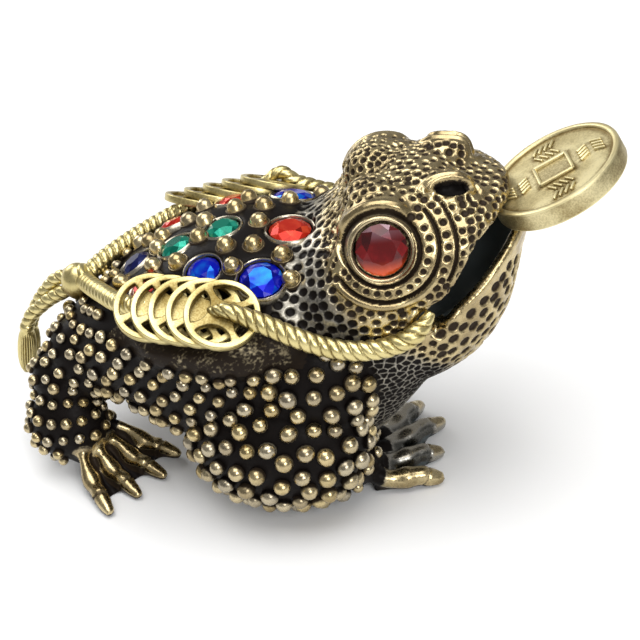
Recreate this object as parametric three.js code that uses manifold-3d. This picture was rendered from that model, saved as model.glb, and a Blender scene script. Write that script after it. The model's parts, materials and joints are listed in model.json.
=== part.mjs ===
// Money toad: a three-legged toad cast in dark brass, with a coin in its mouth, a harness of
// rope and cash coins laid over its back, and coloured stones set between the warts.
// Millimetres, +Z up, +X towards the snout, +Y to the toad's left.
import * as THREE from 'three';
import { mergeVertices } from 'three/addons/utils/BufferGeometryUtils.js';
import Module from 'manifold-3d';

const wasm = await Module();
wasm.setup();

// Driving dimensions
const TOAD_LENGTH = 74;            // rump to snout; pose and proportions are in 74ths of it
const FIT_GAP = 0.3;               // clearance between pieces that touch
const MOUTH_COIN_DIAMETER = 19.6;
const MOUTH_COIN_THICKNESS = 3.0;
const MOUTH_COIN_SLOPE = 25;       // degrees that the coin rises towards its outer edge
const COIN_RIM_WIDTH = 1.5;
const COIN_RELIEF = 0.45;          // height of the coin's rim, frame and strokes
const COIN_SQUARE = 3.0;           // inside width of the square frame
const COIN_FRAME_WIDTH = 0.7;
const COIN_STROKE_WIDTH = 0.6;
const ROPE_DIAMETER = 3.2;         // the two ropes that run to the mouth
const BACK_ROPE_DIAMETER = 2.6;    // the ropes behind the coins, and the tassels' ropes
const CASH_DIAMETER = 11;
const CASH_THICKNESS = 0.9;
const CASH_RIM_WIDTH = 0.9;
const CASH_PITCH = 2.6;            // from one coin of a string to the next
const CASH_TILT = 22;              // degrees that each coin leans back on the one behind it
const CASH_COUNT = 5;
const KNOT_DIAMETER = 4.6;
const TASSEL_LENGTH = 7.2;
const TASSEL_DIAMETER = 3.8;
const EYE_STONE_DIAMETER = 7.5;
const LARGE_STONE_DIAMETER = 6.0;
const SMALL_STONE_DIAMETER = 4.8;
const STONE_DEPTH = 1.1;           // part of a stone that sits in its socket
const STONE_CROWN = 1.0;           // part of a stone that stands out
const COLLET_WALL = 0.55;
const COLLET_HEIGHT = 0.5;
const EYE_COLLET_WALL = 0.9;
const BACK_WART_DIAMETER = 2.7;
const LEG_WART_DIAMETER = 2.4;
const SHIN_WART_DIAMETER = 1.8;
const LEG_WART_PITCH = 6.0;
const SHIN_WART_PITCH = 4.0;
const TOE_THICKNESS = 2.3;
const TOE_PITCH = 2.6;             // between the roots of neighbouring toes
const SOLE_CUT = 0.5;              // how far hands, feet and elbows are cut flat below

const UNITS_IN_LENGTH = 74;
const unit = TOAD_LENGTH / UNITS_IN_LENGTH;
const HEAD_PIVOT = [4, 0, 0];
const HEAD_TURN = 8;               // degrees that the head is turned to the toad's left

// Small helpers
const point = (x, y, z) => new THREE.Vector3(x * unit, y * unit, z * unit);
const radians = THREE.MathUtils.degToRad;
const ORIGIN = new THREE.Vector2();
const bothSides = [-1, 1];         // the toad's right and left

function solid(geometry) {
  const bare = geometry.index ? geometry.toNonIndexed() : geometry.clone();
  bare.deleteAttribute('normal');
  bare.deleteAttribute('uv');
  const merged = mergeVertices(bare, 1e-4);
  return new wasm.Manifold(new wasm.Mesh({
    numProp: 3,
    vertProperties: Float32Array.from(merged.attributes.position.array),
    triVerts: Uint32Array.from(merged.index.array),
  }));
}

function geometryOf(manifold) {
  const mesh = manifold.getMesh();
  const geometry = new THREE.BufferGeometry();
  geometry.setAttribute('position', new THREE.BufferAttribute(mesh.vertProperties, mesh.numProp));
  geometry.setIndex(new THREE.BufferAttribute(mesh.triVerts, 1));
  return geometry;
}

const join = (parts) => parts.reduce((whole, part) => whole.add(part));

// A closed skin through rings of equal count, with a fan over each end
function loft(rings) {
  const count = rings[0].length;
  const positions = rings.flat().flatMap((p) => [p.x, p.y, p.z]);
  const faces = [];
  for (let i = 0; i + 1 < rings.length; i++) {
    for (let k = 0; k < count; k++) {
      const a = i * count + k;
      const b = i * count + ((k + 1) % count);
      faces.push(a, b, b + count, a, b + count, a + count);
    }
  }
  const cap = (ring, first, flip) => {
    const middle = ring.reduce((sum, p) => sum.add(p), new THREE.Vector3()).divideScalar(count);
    const hub = positions.length / 3;
    positions.push(middle.x, middle.y, middle.z);
    for (let k = 0; k < count; k++) {
      const a = first + k;
      const b = first + ((k + 1) % count);
      faces.push(hub, flip ? a : b, flip ? b : a);
    }
  };
  cap(rings[0], 0, false);
  cap(rings.at(-1), (rings.length - 1) * count, true);
  const geometry = new THREE.BufferGeometry();
  geometry.setAttribute('position', new THREE.Float32BufferAttribute(positions, 3));
  geometry.setIndex(faces);
  return geometry;
}

// An upright section across the length: half width, height above and below its centre line
function section([x, z, half, above, below], sides, power = 2) {
  const ring = [];
  for (let k = 0; k < sides; k++) {
    const turn = (2 * Math.PI * k) / sides;
    const c = Math.cos(turn);
    const s = Math.sin(turn);
    const y = half * Math.sign(c) * Math.abs(c) ** (2 / power);
    const rise = (s > 0 ? above : below) * Math.sign(s) * Math.abs(s) ** (2 / power);
    ring.push(point(x, y, z + rise));
  }
  return ring;
}

function ellipsoid([x, y, z], [rx, ry, rz], sides = 14, bands = 9, turn = 0) {
  const geometry = new THREE.SphereGeometry(1, sides, bands);
  geometry.rotateX(Math.PI / 2);
  geometry.scale(rx * unit, ry * unit, rz * unit);
  geometry.rotateZ(radians(turn));
  geometry.translate(x * unit, y * unit, z * unit);
  return solid(geometry);
}

// A round bar along a smooth curve; radii are spread evenly over its length
function bar(points, radii, sides, steps) {
  const curve = new THREE.CatmullRomCurve3(points);
  const rings = [];
  let across = new THREE.Vector3();
  for (let i = 0; i <= steps; i++) {
    const t = i / steps;
    const centre = curve.getPointAt(t);
    const along = curve.getTangentAt(t);
    if (i === 0) across.set(0, 0, 1).cross(along);
    if (across.lengthSq() < 1e-6) across.set(1, 0, 0);
    across.addScaledVector(along, -across.dot(along)).normalize();
    const over = along.clone().cross(across);
    const place = t * (radii.length - 1);
    const low = Math.min(Math.floor(place), radii.length - 2);
    const radius = THREE.MathUtils.lerp(radii[low], radii[low + 1], place - low);
    const ring = [];
    for (let k = 0; k < sides; k++) {
      const turn = (2 * Math.PI * k) / sides;
      ring.push(centre.clone()
        .addScaledVector(across, radius * Math.cos(turn))
        .addScaledVector(over, radius * Math.sin(turn)));
    }
    rings.push(ring);
  }
  return solid(loft(rings));
}

// Turns a geometry whose axis is +Z so that it stands at a place, along a direction
function stand(geometry, place, axis, spin = 0) {
  geometry.rotateZ(spin);
  geometry.applyQuaternion(new THREE.Quaternion().setFromUnitVectors(new THREE.Vector3(0, 0, 1), axis));
  geometry.translate(place.x, place.y, place.z);
  return solid(geometry);
}

const turned = (profile, sides) =>
  new THREE.LatheGeometry(profile.map(([r, z]) => new THREE.Vector2(r, z)), sides).rotateX(Math.PI / 2);

function headFrame(manifold) {
  const pivot = point(...HEAD_PIVOT);
  const centred = manifold.translate([-pivot.x, -pivot.y, 0]);
  return centred.rotate([0, 0, HEAD_TURN]).translate([pivot.x, pivot.y, 0]);
}

function headPoint(x, y, z) {
  const pivot = point(...HEAD_PIVOT);
  return point(x, y, z).sub(pivot).applyAxisAngle(new THREE.Vector3(0, 0, 1), radians(HEAD_TURN)).add(pivot);
}

const headDirection = (x, y, z) =>
  new THREE.Vector3(x, y, z).normalize().applyAxisAngle(new THREE.Vector3(0, 0, 1), radians(HEAD_TURN));

// Trunk, neck and head
function trunk() {
  const stations = [
    [-39, 20.5, 3.0, 2.4, 3.0],
    [-36.6, 20.5, 6.8, 4.8, 6.0],
    [-33, 20.6, 10.4, 7.4, 9.2],
    [-28, 21.5, 13.6, 10.6, 12.4],
    [-22, 22.5, 16.6, 13.4, 16.2],
    [-15, 23.5, 18.5, 15.2, 18.4],
    [-8, 24, 19, 15.8, 18.6],
    [-1, 24, 18, 15.4, 19.0],
    [5, 24, 14.5, 14.6, 18.6],
  ];
  return solid(loft(stations.map((station) => section(station, 14, 2.4))));
}

function neck() {
  const stations = [
    [-7, 29, 12, 8, 20],
    [-1, 30, 14.4, 9.4, 24],
    [4, 32, 15.4, 10.6, 28],
    [8.5, 33.5, 15.8, 13.4, 25],
    [13, 34.2, 15.4, 14.2, 20],
    [16.5, 34.2, 13.6, 13.4, 15.8],
  ];
  return solid(loft(stations.map((station) => section(station, 12, 2.2))));
}

function upperJaw() {
  const stations = [
    [12, 36.0, 15.0, 13.0, 3.0],
    [16, 35.0, 15.2, 14.2, 1.4],
    [19.5, 36.6, 14.4, 12.0, 0.9],
    [21.5, 39.6, 13.6, 8.4, 0.9],
    [23.7, 42.5, 11.4, 5.0, 0.8],
    [25.6, 43.3, 8.8, 3.7, 0.8],
    [27.2, 43.9, 5.6, 2.5, 0.7],
    [28.3, 44.2, 2.8, 1.2, 0.5],
  ];
  return solid(loft(stations.map((station) => section(station, 12, 2.2))));
}

function lowerJaw() {
  const stations = [
    [11, 27.0, 13.0, 1.0, 13.0],
    [15, 27.6, 13.6, 1.0, 11.4],
    [19, 30.6, 13.4, 1.0, 12.8],
    [23, 34.0, 11.2, 0.9, 14.4],
    [26, 36.4, 9.0, 0.8, 13.2],
    [28.2, 38.0, 6.6, 0.8, 10.6],
    [29.6, 39.7, 4.2, 0.6, 7.1],
    [30.4, 40.5, 1.9, 0.4, 3.9],
  ];
  return solid(loft(stations.map((station) => section(station, 12, 2.2))));
}

function mouthHollow() {
  const stations = [
    [9, 32, 5.0, 1.6, 2.4],
    [13, 32.4, 9.6, 3.6, 4.2],
    [17, 33.4, 11.4, 4.4, 6.6],
    [21, 36, 11.2, 5.0, 7.6],
    [24.6, 38.6, 8.6, 5.0, 8.4],
    [27, 39.8, 5.6, 4.2, 6.4],
    [28.8, 40.4, 2.6, 3.0, 3.8],
  ];
  return solid(loft(stations.map((station) => section(station, 10))));
}

function mouthSlit() {
  const stations = [
    [14.6, 32.2, 20, 0.6, 0.6],
    [16, 32.2, 20, 1.8, 1.8],
    [18.4, 32.8, 20, 2.6, 2.4],
    [21, 35, 20, 2.6, 2.4],
  ];
  return solid(loft(stations.map((station) => section(station, 6))));
}

function head() {
  const bumps = bothSides.flatMap((side) => [
    ellipsoid([10.6, side * 4.4, 45.2], [6.0, 4.7, 6.0], 9, 6),
    ellipsoid([20.0, side * 4.9, 46.2], [3.5, 3.1, 4.2], 8, 5),
    ellipsoid([10.8, side * 8.2, 42.2], [6.6, 4.4, 6.7], 9, 5),
  ]);
  const nostrils = join(bothSides.map((side) => ellipsoid([20.8, side * 8.0, 47.2], [2.4, 1.9, 1.3], 8, 5)));
  const whole = join([neck(), upperJaw(), lowerJaw(), ...bumps]);
  return headFrame(whole.subtract(mouthHollow()).subtract(mouthSlit()).subtract(nostrils));
}

// Limbs: muscle masses, then a hand or foot of four webbed toes
function toes({ root, rootTurn, heading, side = 1 }, reach, spread) {
  const thickness = TOE_THICKNESS / 2;
  const fan = [-1.5, -0.5, 0.5, 1.5];
  const roots = fan.map((place) => point(
    root[0] + (place * TOE_PITCH * Math.cos(radians(rootTurn))) / unit,
    side * (root[1] + (place * TOE_PITCH * Math.sin(radians(rootTurn))) / unit),
    root[2],
  ));
  const tips = fan.map((place, i) => {
    const angle = radians(heading + place * spread);
    const away = point(reach[i] * Math.cos(angle), side * reach[i] * Math.sin(angle), 0);
    return away.add(roots[i]).setZ(thickness * 0.4);
  });
  const at = (i, share, height) => roots[i].clone().lerp(tips[i], share).setZ(height);
  const fingers = tips.map((tip, i) => bar(
    [roots[i], at(i, 0.35, root[2] * unit * 0.7), at(i, 0.7, thickness), tip],
    [thickness * 1.15, thickness * 0.9, thickness * 0.8, thickness, thickness * 0.8, thickness * 0.35],
    5,
    3,
  ));
  const outline = tips.flatMap((tip, i) => {
    const edge = at(i, 0.78, 0);
    return i === 3 ? [edge] : [edge, at(i, 0.62, 0).lerp(at(i + 1, 0.62, 0), 0.5)];
  });
  const heel = [roots[3], roots[0]];
  const shape = new THREE.Shape([...outline, ...heel].map(({ x, y }) => new THREE.Vector2(x, y)));
  const web = new THREE.ExtrudeGeometry(shape, { depth: thickness, bevelEnabled: false });
  return join([...fingers, solid(web.translate(0, 0, -SOLE_CUT))]);
}

const NEAR_ARM = { side: -1, shift: 0, hand: { root: [8, 6, 2.4], rootTurn: -95, heading: -38 } };
const FAR_ARM = { side: 1, shift: -13, hand: { root: [-5, 9, 2.4], rootTurn: -90, heading: -8 } };

function armMasses({ side, shift }) {
  return [
    { centre: [0.5 + shift, side * 12.5, 22], radii: [9.5, 7, 9.5] },
    { centre: [-4.3 + shift, side * 14.4, 11.8], radii: [13.0, 8.4, 10.8] },
  ];
}

function arm({ side, shift, hand }) {
  const masses = armMasses({ side, shift }).map(({ centre, radii }) => ellipsoid(centre, radii, 10, 6));
  const wrist = hand.root;
  const forearm = bar(
    [
      point(-2 + shift, side * 13.5, 8),
      point(4 + shift, side * 10.6, 6.4),
      point(wrist[0] + 1, side * wrist[1], 3),
    ],
    [7.4 * unit, 6.0 * unit, 5.0 * unit, 3.6 * unit],
    7,
    3,
  );
  return join([...masses, forearm, toes({ ...hand, side }, [9.8, 10.6, 11.4, 11.0], -17)]);
}

const REAR_FOOT = { root: [-36, -6, 2.6], rootTurn: 63, heading: -33 };
const REAR_MASSES = [
  { centre: [-33.8, -3.5, 18.4], radii: [7.6, 6.6, 7.4] },
  { centre: [-38.8, -4.6, 14.8], radii: [5.8, 5.2, 4.8] },
  { centre: [-39.2, -7.8, 7.6], radii: [6.2, 5.0, 6.6] },
];

function rearLeg() {
  const masses = REAR_MASSES.map(({ centre, radii }) => ellipsoid(centre, radii, 10, 6));
  const ankle = bar(
    [point(-39, -7.6, 7), point(-36.4, -6.2, 2.8)],
    [4.6 * unit, 3.8 * unit],
    8,
    2,
  );
  return join([...masses, ankle, toes(REAR_FOOT, [12.2, 12.5, 12.5, 11.2], 13.5)]);
}

// Everything is joined, then cut flat at the ground
function bareBody() {
  const reach = 2 * TOAD_LENGTH;
  const ground = solid(new THREE.BoxGeometry(reach, reach, reach).translate(0, 0, -reach / 2));
  return join([trunk(), head(), arm(NEAR_ARM), arm(FAR_ARM), rearLeg()]).subtract(ground);
}

// Places on the skin, found by looking along a ray at the bare body
const bare = bareBody();
const skin = new THREE.Mesh(geometryOf(bare), new THREE.MeshBasicMaterial());
const FAR_OFF = 2 * TOAD_LENGTH;
const DOWN = new THREE.Vector3(0, 0, -1);

function touch(from, aim) {
  const hit = new THREE.Raycaster(from, aim).intersectObject(skin)[0];
  return hit && { place: hit.point, out: hit.face.normal.clone() };
}

const above = (x, y) => touch(point(x, y, 0).setZ(FAR_OFF), DOWN);

// Stones: each sits in a socket with a raised collet round its rim
const STONE_SIDES = 8;

function cutStone({ place, out }, diameter) {
  const r = diameter / 2;
  const profile = [
    [0, -STONE_DEPTH], [r * 0.7, -STONE_DEPTH], [r, 0.1], [r * 0.6, STONE_CROWN], [0, STONE_CROWN],
  ];
  return stand(turned(profile, STONE_SIDES), place, out);
}

function socket({ place, out }, diameter) {
  const r = diameter / 2 + FIT_GAP;
  const low = -STONE_DEPTH - FIT_GAP;
  const profile = [[0, low], [r, low], [r, 2 * STONE_CROWN], [0, 2 * STONE_CROWN]];
  return stand(turned(profile, STONE_SIDES), place, out);
}

function collet({ place, out }, diameter, wall) {
  const r = diameter / 2 + FIT_GAP + wall;
  const low = -STONE_DEPTH - FIT_GAP - wall;
  const profile = [[0, low], [r, low], [r, COLLET_HEIGHT], [0, COLLET_HEIGHT]];
  return stand(turned(profile, STONE_SIDES), place, out);
}

function eyeSeat(side) {
  const axis = headDirection(0.08, side * 0.92, 0.38);
  return { place: headPoint(10.95, side * 12.5, 42.8), out: axis };
}

const RED = 0xa8281a;
const GREEN = 0x0f6b54;
const BLUE = 0x1c2fc0;
const NIGHT_BLUE = 0x16204e;
const EYE_RED = 0x9c3220;
const STONES = [
  ...[['eye_stone_right', -1], ['eye_stone_left', 1]].map(([name, side]) => (
    { name, seat: eyeSeat(side), diameter: EYE_STONE_DIAMETER, wall: EYE_COLLET_WALL, colour: EYE_RED })),
  ...[
    ['back_stone_centre_1', -2.4, -1.2, LARGE_STONE_DIAMETER, RED],
    ['back_stone_centre_2', -12.4, -0.5, SMALL_STONE_DIAMETER, GREEN],
    ['back_stone_centre_3', -19.0, -2.3, SMALL_STONE_DIAMETER, GREEN],
    ['back_stone_centre_4', -25.8, -1.5, SMALL_STONE_DIAMETER, NIGHT_BLUE],
    ['back_stone_right_1', -4.6, -11.0, LARGE_STONE_DIAMETER, BLUE],
    ['back_stone_right_2', -13.2, -9.2, SMALL_STONE_DIAMETER, BLUE],
    ['back_stone_right_3', -22.2, -8.9, SMALL_STONE_DIAMETER, RED],
    ['back_stone_left_1', -4.6, 11.0, LARGE_STONE_DIAMETER, BLUE],
    ['back_stone_left_2', -13.2, 9.2, SMALL_STONE_DIAMETER, RED],
    ['back_stone_left_3', -21.4, 5.2, SMALL_STONE_DIAMETER, RED],
  ].map(([name, x, y, diameter, colour]) => (
    { name, seat: above(x, y), diameter, wall: COLLET_WALL, colour })),
];

// Warts: small knobs half sunk in the skin
const WART_RISE = 0.12;            // how far a wart's middle lies above the skin, in diameters
const WART_ROOM = 0.8;            // least way from a wart's middle to a collet

function wart({ place, out }, diameter) {
  const knob = new THREE.OctahedronGeometry(diameter / 2, 0);
  return stand(knob, place.clone().addScaledVector(out, diameter * WART_RISE), out);
}

const BACK_WART_PLACES = [
  [-2.1, 6.9], [-6.7, 5.3], [-11.3, 5.1], [-15.7, 3.1], [-18.5, 6.4],
  [-22.4, 5.1], [-27.8, 5.0], [-9.0, 9.6], [-0.3, 11.7], [-7.6, -0.3],
];

function clearOfStones({ place }) {
  const near = ({ seat, diameter, wall }) => seat.place.distanceTo(place) < diameter / 2 + wall + WART_ROOM;
  return !STONES.some(near);
}

function backWarts() {
  const seats = BACK_WART_PLACES.flatMap(([x, y]) => bothSides.map((side) => above(x, side * y)));
  return seats.filter(clearOfStones).map((seat) => wart(seat, BACK_WART_DIAMETER));
}

// Rows of warts round a muscle mass, each row shifted by half a step against the last
function massWarts({ centre, radii }, diameter, pitch, rows, turns) {
  const middle = point(...centre);
  const warts = [];
  rows.forEach((tilt, row) => {
    const ring = Math.cos(radians(tilt)) * Math.max(radii[0], radii[2]) * unit;
    const step = THREE.MathUtils.radToDeg(pitch / ring);
    for (let turn = turns[0] + (row % 2) * step / 2; turn <= turns[1]; turn += step) {
      const aim = new THREE.Vector3(
        Math.cos(radians(tilt)) * Math.cos(radians(turn)),
        Math.cos(radians(tilt)) * Math.sin(radians(turn)),
        Math.sin(radians(tilt)),
      );
      const seat = touch(middle.clone().addScaledVector(aim, FAR_OFF), aim.clone().negate());
      warts.push(wart(seat, diameter));
    }
  });
  return warts;
}

const LEG_WART_ROWS = [-30, 0, 30];

function armWarts(which, turns) {
  return massWarts(armMasses(which)[1], LEG_WART_DIAMETER, LEG_WART_PITCH, LEG_WART_ROWS, turns);
}

function shinWarts() {
  return massWarts(REAR_MASSES[2], SHIN_WART_DIAMETER, SHIN_WART_PITCH, [-20, 15], [150, 300]);
}

// Mouth coin, held between the lips by its inner edge; its own frame has the face up
const COIN_SIDES = 22;
const COIN_BITE = [25.3, 0, 42.4];  // where its face's inner edge lies, in the head's frame
const COIN_FACE = MOUTH_COIN_THICKNESS / 2;
const COIN_FIELD = COIN_FACE - COIN_RELIEF;

function inMouth(geometry) {
  const slope = radians(MOUTH_COIN_SLOPE);
  const bite = headPoint(...COIN_BITE);
  geometry.translate(MOUTH_COIN_DIAMETER / 2, 0, -COIN_FACE);
  geometry.rotateY(-slope);
  geometry.rotateZ(radians(HEAD_TURN));
  return solid(geometry.translate(bite.x, bite.y, bite.z));
}

// A straight ridge on the coin's face, from one point to another
function ridge(start, end, width, low, high) {
  const run = end.clone().sub(start);
  const box = new THREE.BoxGeometry(run.length(), width, high - low).rotateZ(run.angle());
  return inMouth(box.translate(start.x + run.x / 2, start.y + run.y / 2, (low + high) / 2));
}

// Two short strokes beside each side of the square, which stand for an inscription
function coinStrokes() {
  const inner = COIN_SQUARE / 2 + COIN_FRAME_WIDTH;
  const outer = MOUTH_COIN_DIAMETER / 2 - COIN_RIM_WIDTH;
  const middle = (inner + outer) / 2;
  const half = (outer - inner) * 0.3;
  const glyph = [[[-half, -half], [-half, half]], [[-half, 0], [half, 0]]];
  return [0, 90, 180, 270].flatMap((turn) => glyph.map((stroke) => {
    const place = ([x, y]) => new THREE.Vector2(x + middle, y).rotateAround(ORIGIN, radians(turn + 45));
    const [start, end] = stroke.map(place);
    return ridge(start, end, COIN_STROKE_WIDTH, COIN_FIELD - COIN_RELIEF, COIN_FACE);
  }));
}

function mouthCoin() {
  const r = MOUTH_COIN_DIAMETER / 2;
  const field = r - COIN_RIM_WIDTH;
  const profile = [
    [0, -COIN_FIELD], [field, -COIN_FIELD], [field, -COIN_FACE], [r, -COIN_FACE],
    [r, COIN_FACE], [field, COIN_FACE], [field, COIN_FIELD], [0, COIN_FIELD],
  ];
  const frame = COIN_SQUARE + 2 * COIN_FRAME_WIDTH;
  const block = new THREE.BoxGeometry(frame, frame, COIN_FACE).rotateZ(radians(45));
  const well = new THREE.BoxGeometry(COIN_SQUARE, COIN_SQUARE, 2 * COIN_FACE).rotateZ(radians(45));
  const disc = inMouth(turned(profile, COIN_SIDES)).add(inMouth(block.translate(0, 0, COIN_FACE / 2)));
  return join([disc, ...coinStrokes()]).subtract(inMouth(well.translate(0, 0, COIN_FACE + COIN_FIELD)));
}

function mouthCoinRoom() {
  const r = MOUTH_COIN_DIAMETER / 2 + FIT_GAP;
  const h = COIN_FACE + FIT_GAP;
  return inMouth(turned([[0, -h], [r, -h], [r, h], [0, h]], COIN_SIDES));
}

// Cash coins: a rim and a middle with four hollow sides, so four lens-shaped openings are left
const CASH_SIDES = 14;
const LENS_HALF_ANGLE = 36;
const LENS_DEPTH = 0.38;           // where an opening comes closest to the centre, as a share of the radius

function arc(centre, radius, from, to, steps) {
  return Array.from({ length: steps + 1 }, (_, i) => {
    const angle = from + ((to - from) * i) / steps;
    return new THREE.Vector2(centre + radius * Math.cos(angle), radius * Math.sin(angle));
  });
}

function lens(quarter) {
  const outer = CASH_DIAMETER / 2 - CASH_RIM_WIDTH;
  const half = radians(LENS_HALF_ANGLE);
  const near = (CASH_DIAMETER / 2) * LENS_DEPTH;
  const reach = outer * Math.cos(half) - near;
  const rise = outer * Math.sin(half);
  const radius = (reach ** 2 + rise ** 2) / (2 * reach);
  const bend = Math.atan2(rise, reach - radius);
  const far = arc(0, outer, -half, half, 2);
  const back = arc(near + radius, radius, bend, 2 * Math.PI - bend, 2).slice(1, -1);
  return new THREE.Path([...far, ...back].map((p) => p.rotateAround(ORIGIN, radians(90 * quarter))));
}

function cashCoin({ place, out, along }) {
  const disc = new THREE.Shape(arc(0, CASH_DIAMETER / 2, 0, 2 * Math.PI, CASH_SIDES).slice(1));
  disc.holes = [0, 1, 2, 3].map(lens);
  const coin = new THREE.ExtrudeGeometry(disc, { depth: CASH_THICKNESS, bevelEnabled: false });
  return layOn(coin.translate(0, 0, -CASH_THICKNESS / 2), place, out, along);
}

// Lays a geometry on a slope: its Z along out, its X along the slope
function layOn(geometry, place, out, along) {
  const across = out.clone().cross(along).normalize();
  geometry.applyMatrix4(new THREE.Matrix4().makeBasis(across.clone().cross(out), across, out));
  return solid(geometry.translate(place.x, place.y, place.z));
}

// Each coin of a string leans on the one behind it; a rod runs through their middles
const CASH_ROD_DIAMETER = 1.4;

function cashString(side) {
  const front = point(-9.9, side * 17.0, 34.6);
  const along = point(10.4, side * 3.0, 1.2).normalize();
  const upright = new THREE.Vector3(0, side, 1).normalize();
  upright.addScaledVector(along, -upright.dot(along)).normalize();
  const tilt = radians(CASH_TILT);
  const out = upright.clone().multiplyScalar(Math.cos(tilt)).addScaledVector(along, Math.sin(tilt));
  const coins = Array.from({ length: CASH_COUNT }, (_, i) =>
    ({ place: front.clone().addScaledVector(along, -CASH_PITCH * i), out, along }));
  return { coins, along, upright };
}

function coinsOfString({ coins, along }) {
  const reach = CASH_THICKNESS;
  const ends = [coins.at(-1).place.clone().addScaledVector(along, -reach), coins[0].place.clone()];
  const radius = CASH_ROD_DIAMETER / 2;
  return join([...coins.map(cashCoin), bar(ends, [radius, radius], 4, 1)]);
}

// The flat-bottomed room that a string takes up in the body
function roomOfString({ coins, along, upright }) {
  const reach = CASH_DIAMETER / 2 + FIT_GAP;
  const length = CASH_PITCH * (CASH_COUNT - 1);
  const front = arc(0, reach, -Math.PI / 2, Math.PI / 2, 6);
  const back = arc(0, reach, Math.PI / 2, 1.5 * Math.PI, 6).map((p) => p.setX(p.x - length));
  const drop = reach * Math.sin(radians(CASH_TILT)) + CASH_THICKNESS / 2 + FIT_GAP;
  const outline = new THREE.Shape([...front, ...back]);
  const room = new THREE.ExtrudeGeometry(outline, { depth: 4 * drop, bevelEnabled: false });
  return layOn(room.translate(0, 0, -drop), coins[0].place, upright, along);
}

// A rope of three strands; the room it needs in the body is a plain round bar
const ROPE_LAY = 3.2;              // length of one turn of a strand, in rope diameters
const STRAND_GROOVE = 0.8;

function rope(points, diameter, grow) {
  const radius = diameter / 2 + grow;
  const curve = new THREE.CatmullRomCurve3(points);
  const steps = Math.max(4, Math.round((curve.getLength() / diameter) * 1.4));
  if (grow > 0) return bar(points, [radius, radius], 6, Math.round(steps / 3));
  const rings = [];
  const start = curve.getTangentAt(0);
  const across = new THREE.Vector3(0, 0, 1).cross(start);
  for (let i = 0; i <= steps; i++) {
    const t = i / steps;
    const centre = curve.getPointAt(t);
    const tangent = curve.getTangentAt(t);
    across.addScaledVector(tangent, -across.dot(tangent)).normalize();
    const over = tangent.clone().cross(across);
    const twist = (2 * Math.PI * curve.getLength() * t) / (ROPE_LAY * diameter);
    rings.push(Array.from({ length: 6 }, (_, k) => {
      const reach = radius * (k % 2 ? STRAND_GROOVE : 1);
      const turn = twist + (Math.PI * k) / 3;
      return centre.clone()
        .addScaledVector(across, reach * Math.cos(turn))
        .addScaledVector(over, reach * Math.sin(turn));
    }));
  }
  return solid(loft(rings));
}

// Harness: one pale casting of ropes, coins, a knot and two tassels
const KNOT_PLACE = [-35.2, 0, 30.2];

function frontRope(side, coins, grow) {
  const start = coins[0].place.clone().addScaledVector(coins[0].out, (CASH_THICKNESS + ROPE_DIAMETER) / 2);
  const route = [
    start.clone().addScaledVector(coins[0].along, -1.5 * unit).addScaledVector(coins[0].out, -1.2 * unit),
    start.clone().addScaledVector(coins[0].along, 2.5 * unit),
    point(-3.3, side * 17.6, 35.8),
    point(1.9, side * 17.8, 33.3),
    headPoint(5.4, side * 18.2, 31.6),
    headPoint(11.1, side * 17.6, 31.2),
    headPoint(15.6, side * 16.6, 32.6),
    headPoint(17.6, side * 14.4, 34.4),
  ];
  return rope(route, ROPE_DIAMETER, grow);
}

function rearRope(side, coins, grow) {
  const last = coins.at(-1);
  const route = [
    point(...KNOT_PLACE),
    point(-33, side * 3, 30.6),
    point(-29.2, side * 7.4, 31.9),
    point(-25.6, side * 10.9, 32.8),
    last.place.clone().addScaledVector(last.out, -0.2 * unit),
  ];
  return rope(route, BACK_ROPE_DIAMETER, grow);
}

function tassel(route, grow) {
  const end = route.at(-1);
  const out = end.clone().sub(route.at(-2)).normalize();
  const r = TASSEL_DIAMETER / 2;
  const neck = BACK_ROPE_DIAMETER / 2;
  const profile = [
    [0, -neck / 2 - grow], [neck + grow, -neck / 2 - grow], [r + grow, TASSEL_LENGTH * 0.22],
    [r + grow, TASSEL_LENGTH * 0.7], [r * 0.7 + grow, TASSEL_LENGTH + grow], [0, TASSEL_LENGTH + grow],
  ];
  return stand(turned(profile, 6), end, out).add(rope(route, BACK_ROPE_DIAMETER, grow));
}

function harness(grow) {
  const strings = bothSides.map(cashString);
  const knot = ellipsoid(KNOT_PLACE, Array(3).fill((KNOT_DIAMETER / 2 + grow) / unit), 6, 4);
  const tassels = [
    [point(-35.2, -0.6, 29.4), point(-39.4, -0.8, 27.4), point(-43.2, -0.9, 23.6), point(-44.8, -1.0, 20.6)],
    [point(-35.2, 0.8, 29.4), point(-40.0, 2.6, 27.0), point(-43.8, 3.8, 23.0), point(-45.0, 4.2, 20.2)],
  ];
  return join([
    ...strings.map(grow > 0 ? roomOfString : coinsOfString),
    ...strings.map(({ coins }, i) => frontRope(bothSides[i], coins, grow)),
    ...strings.map(({ coins }, i) => rearRope(bothSides[i], coins, grow)),
    knot,
    ...tassels.map((route) => tassel(route, grow)),
  ]);
}

// A low ridge of the body under each string of coins
const COIN_BED = [[-24, 11.5, 27.6], [-17, 14.2, 28.6], [-8, 16.2, 29.2], [-2, 15.6, 28.0]];

const coinBeds = () => bothSides.map((side) => bar(
  COIN_BED.map(([x, y, z]) => point(x, side * y, z)),
  [2.4 * unit, 4.4 * unit, 4.6 * unit, 4.4 * unit, 2.6 * unit],
  7,
  3,
));

function toadBody() {
  const raised = [
    ...coinBeds(), ...backWarts(), ...shinWarts(),
    ...armWarts(NEAR_ARM, [-150, -40]), ...armWarts(FAR_ARM, [40, 150]),
    ...STONES.map(({ seat, diameter, wall }) => collet(seat, diameter, wall)),
  ];
  const sunk = [
    ...STONES.map(({ seat, diameter }) => socket(seat, diameter)),
    mouthCoinRoom(),
    harness(FIT_GAP),
  ];
  return join([bare, ...raised]).subtract(join(sunk));
}

const toad = new THREE.Group();

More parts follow.
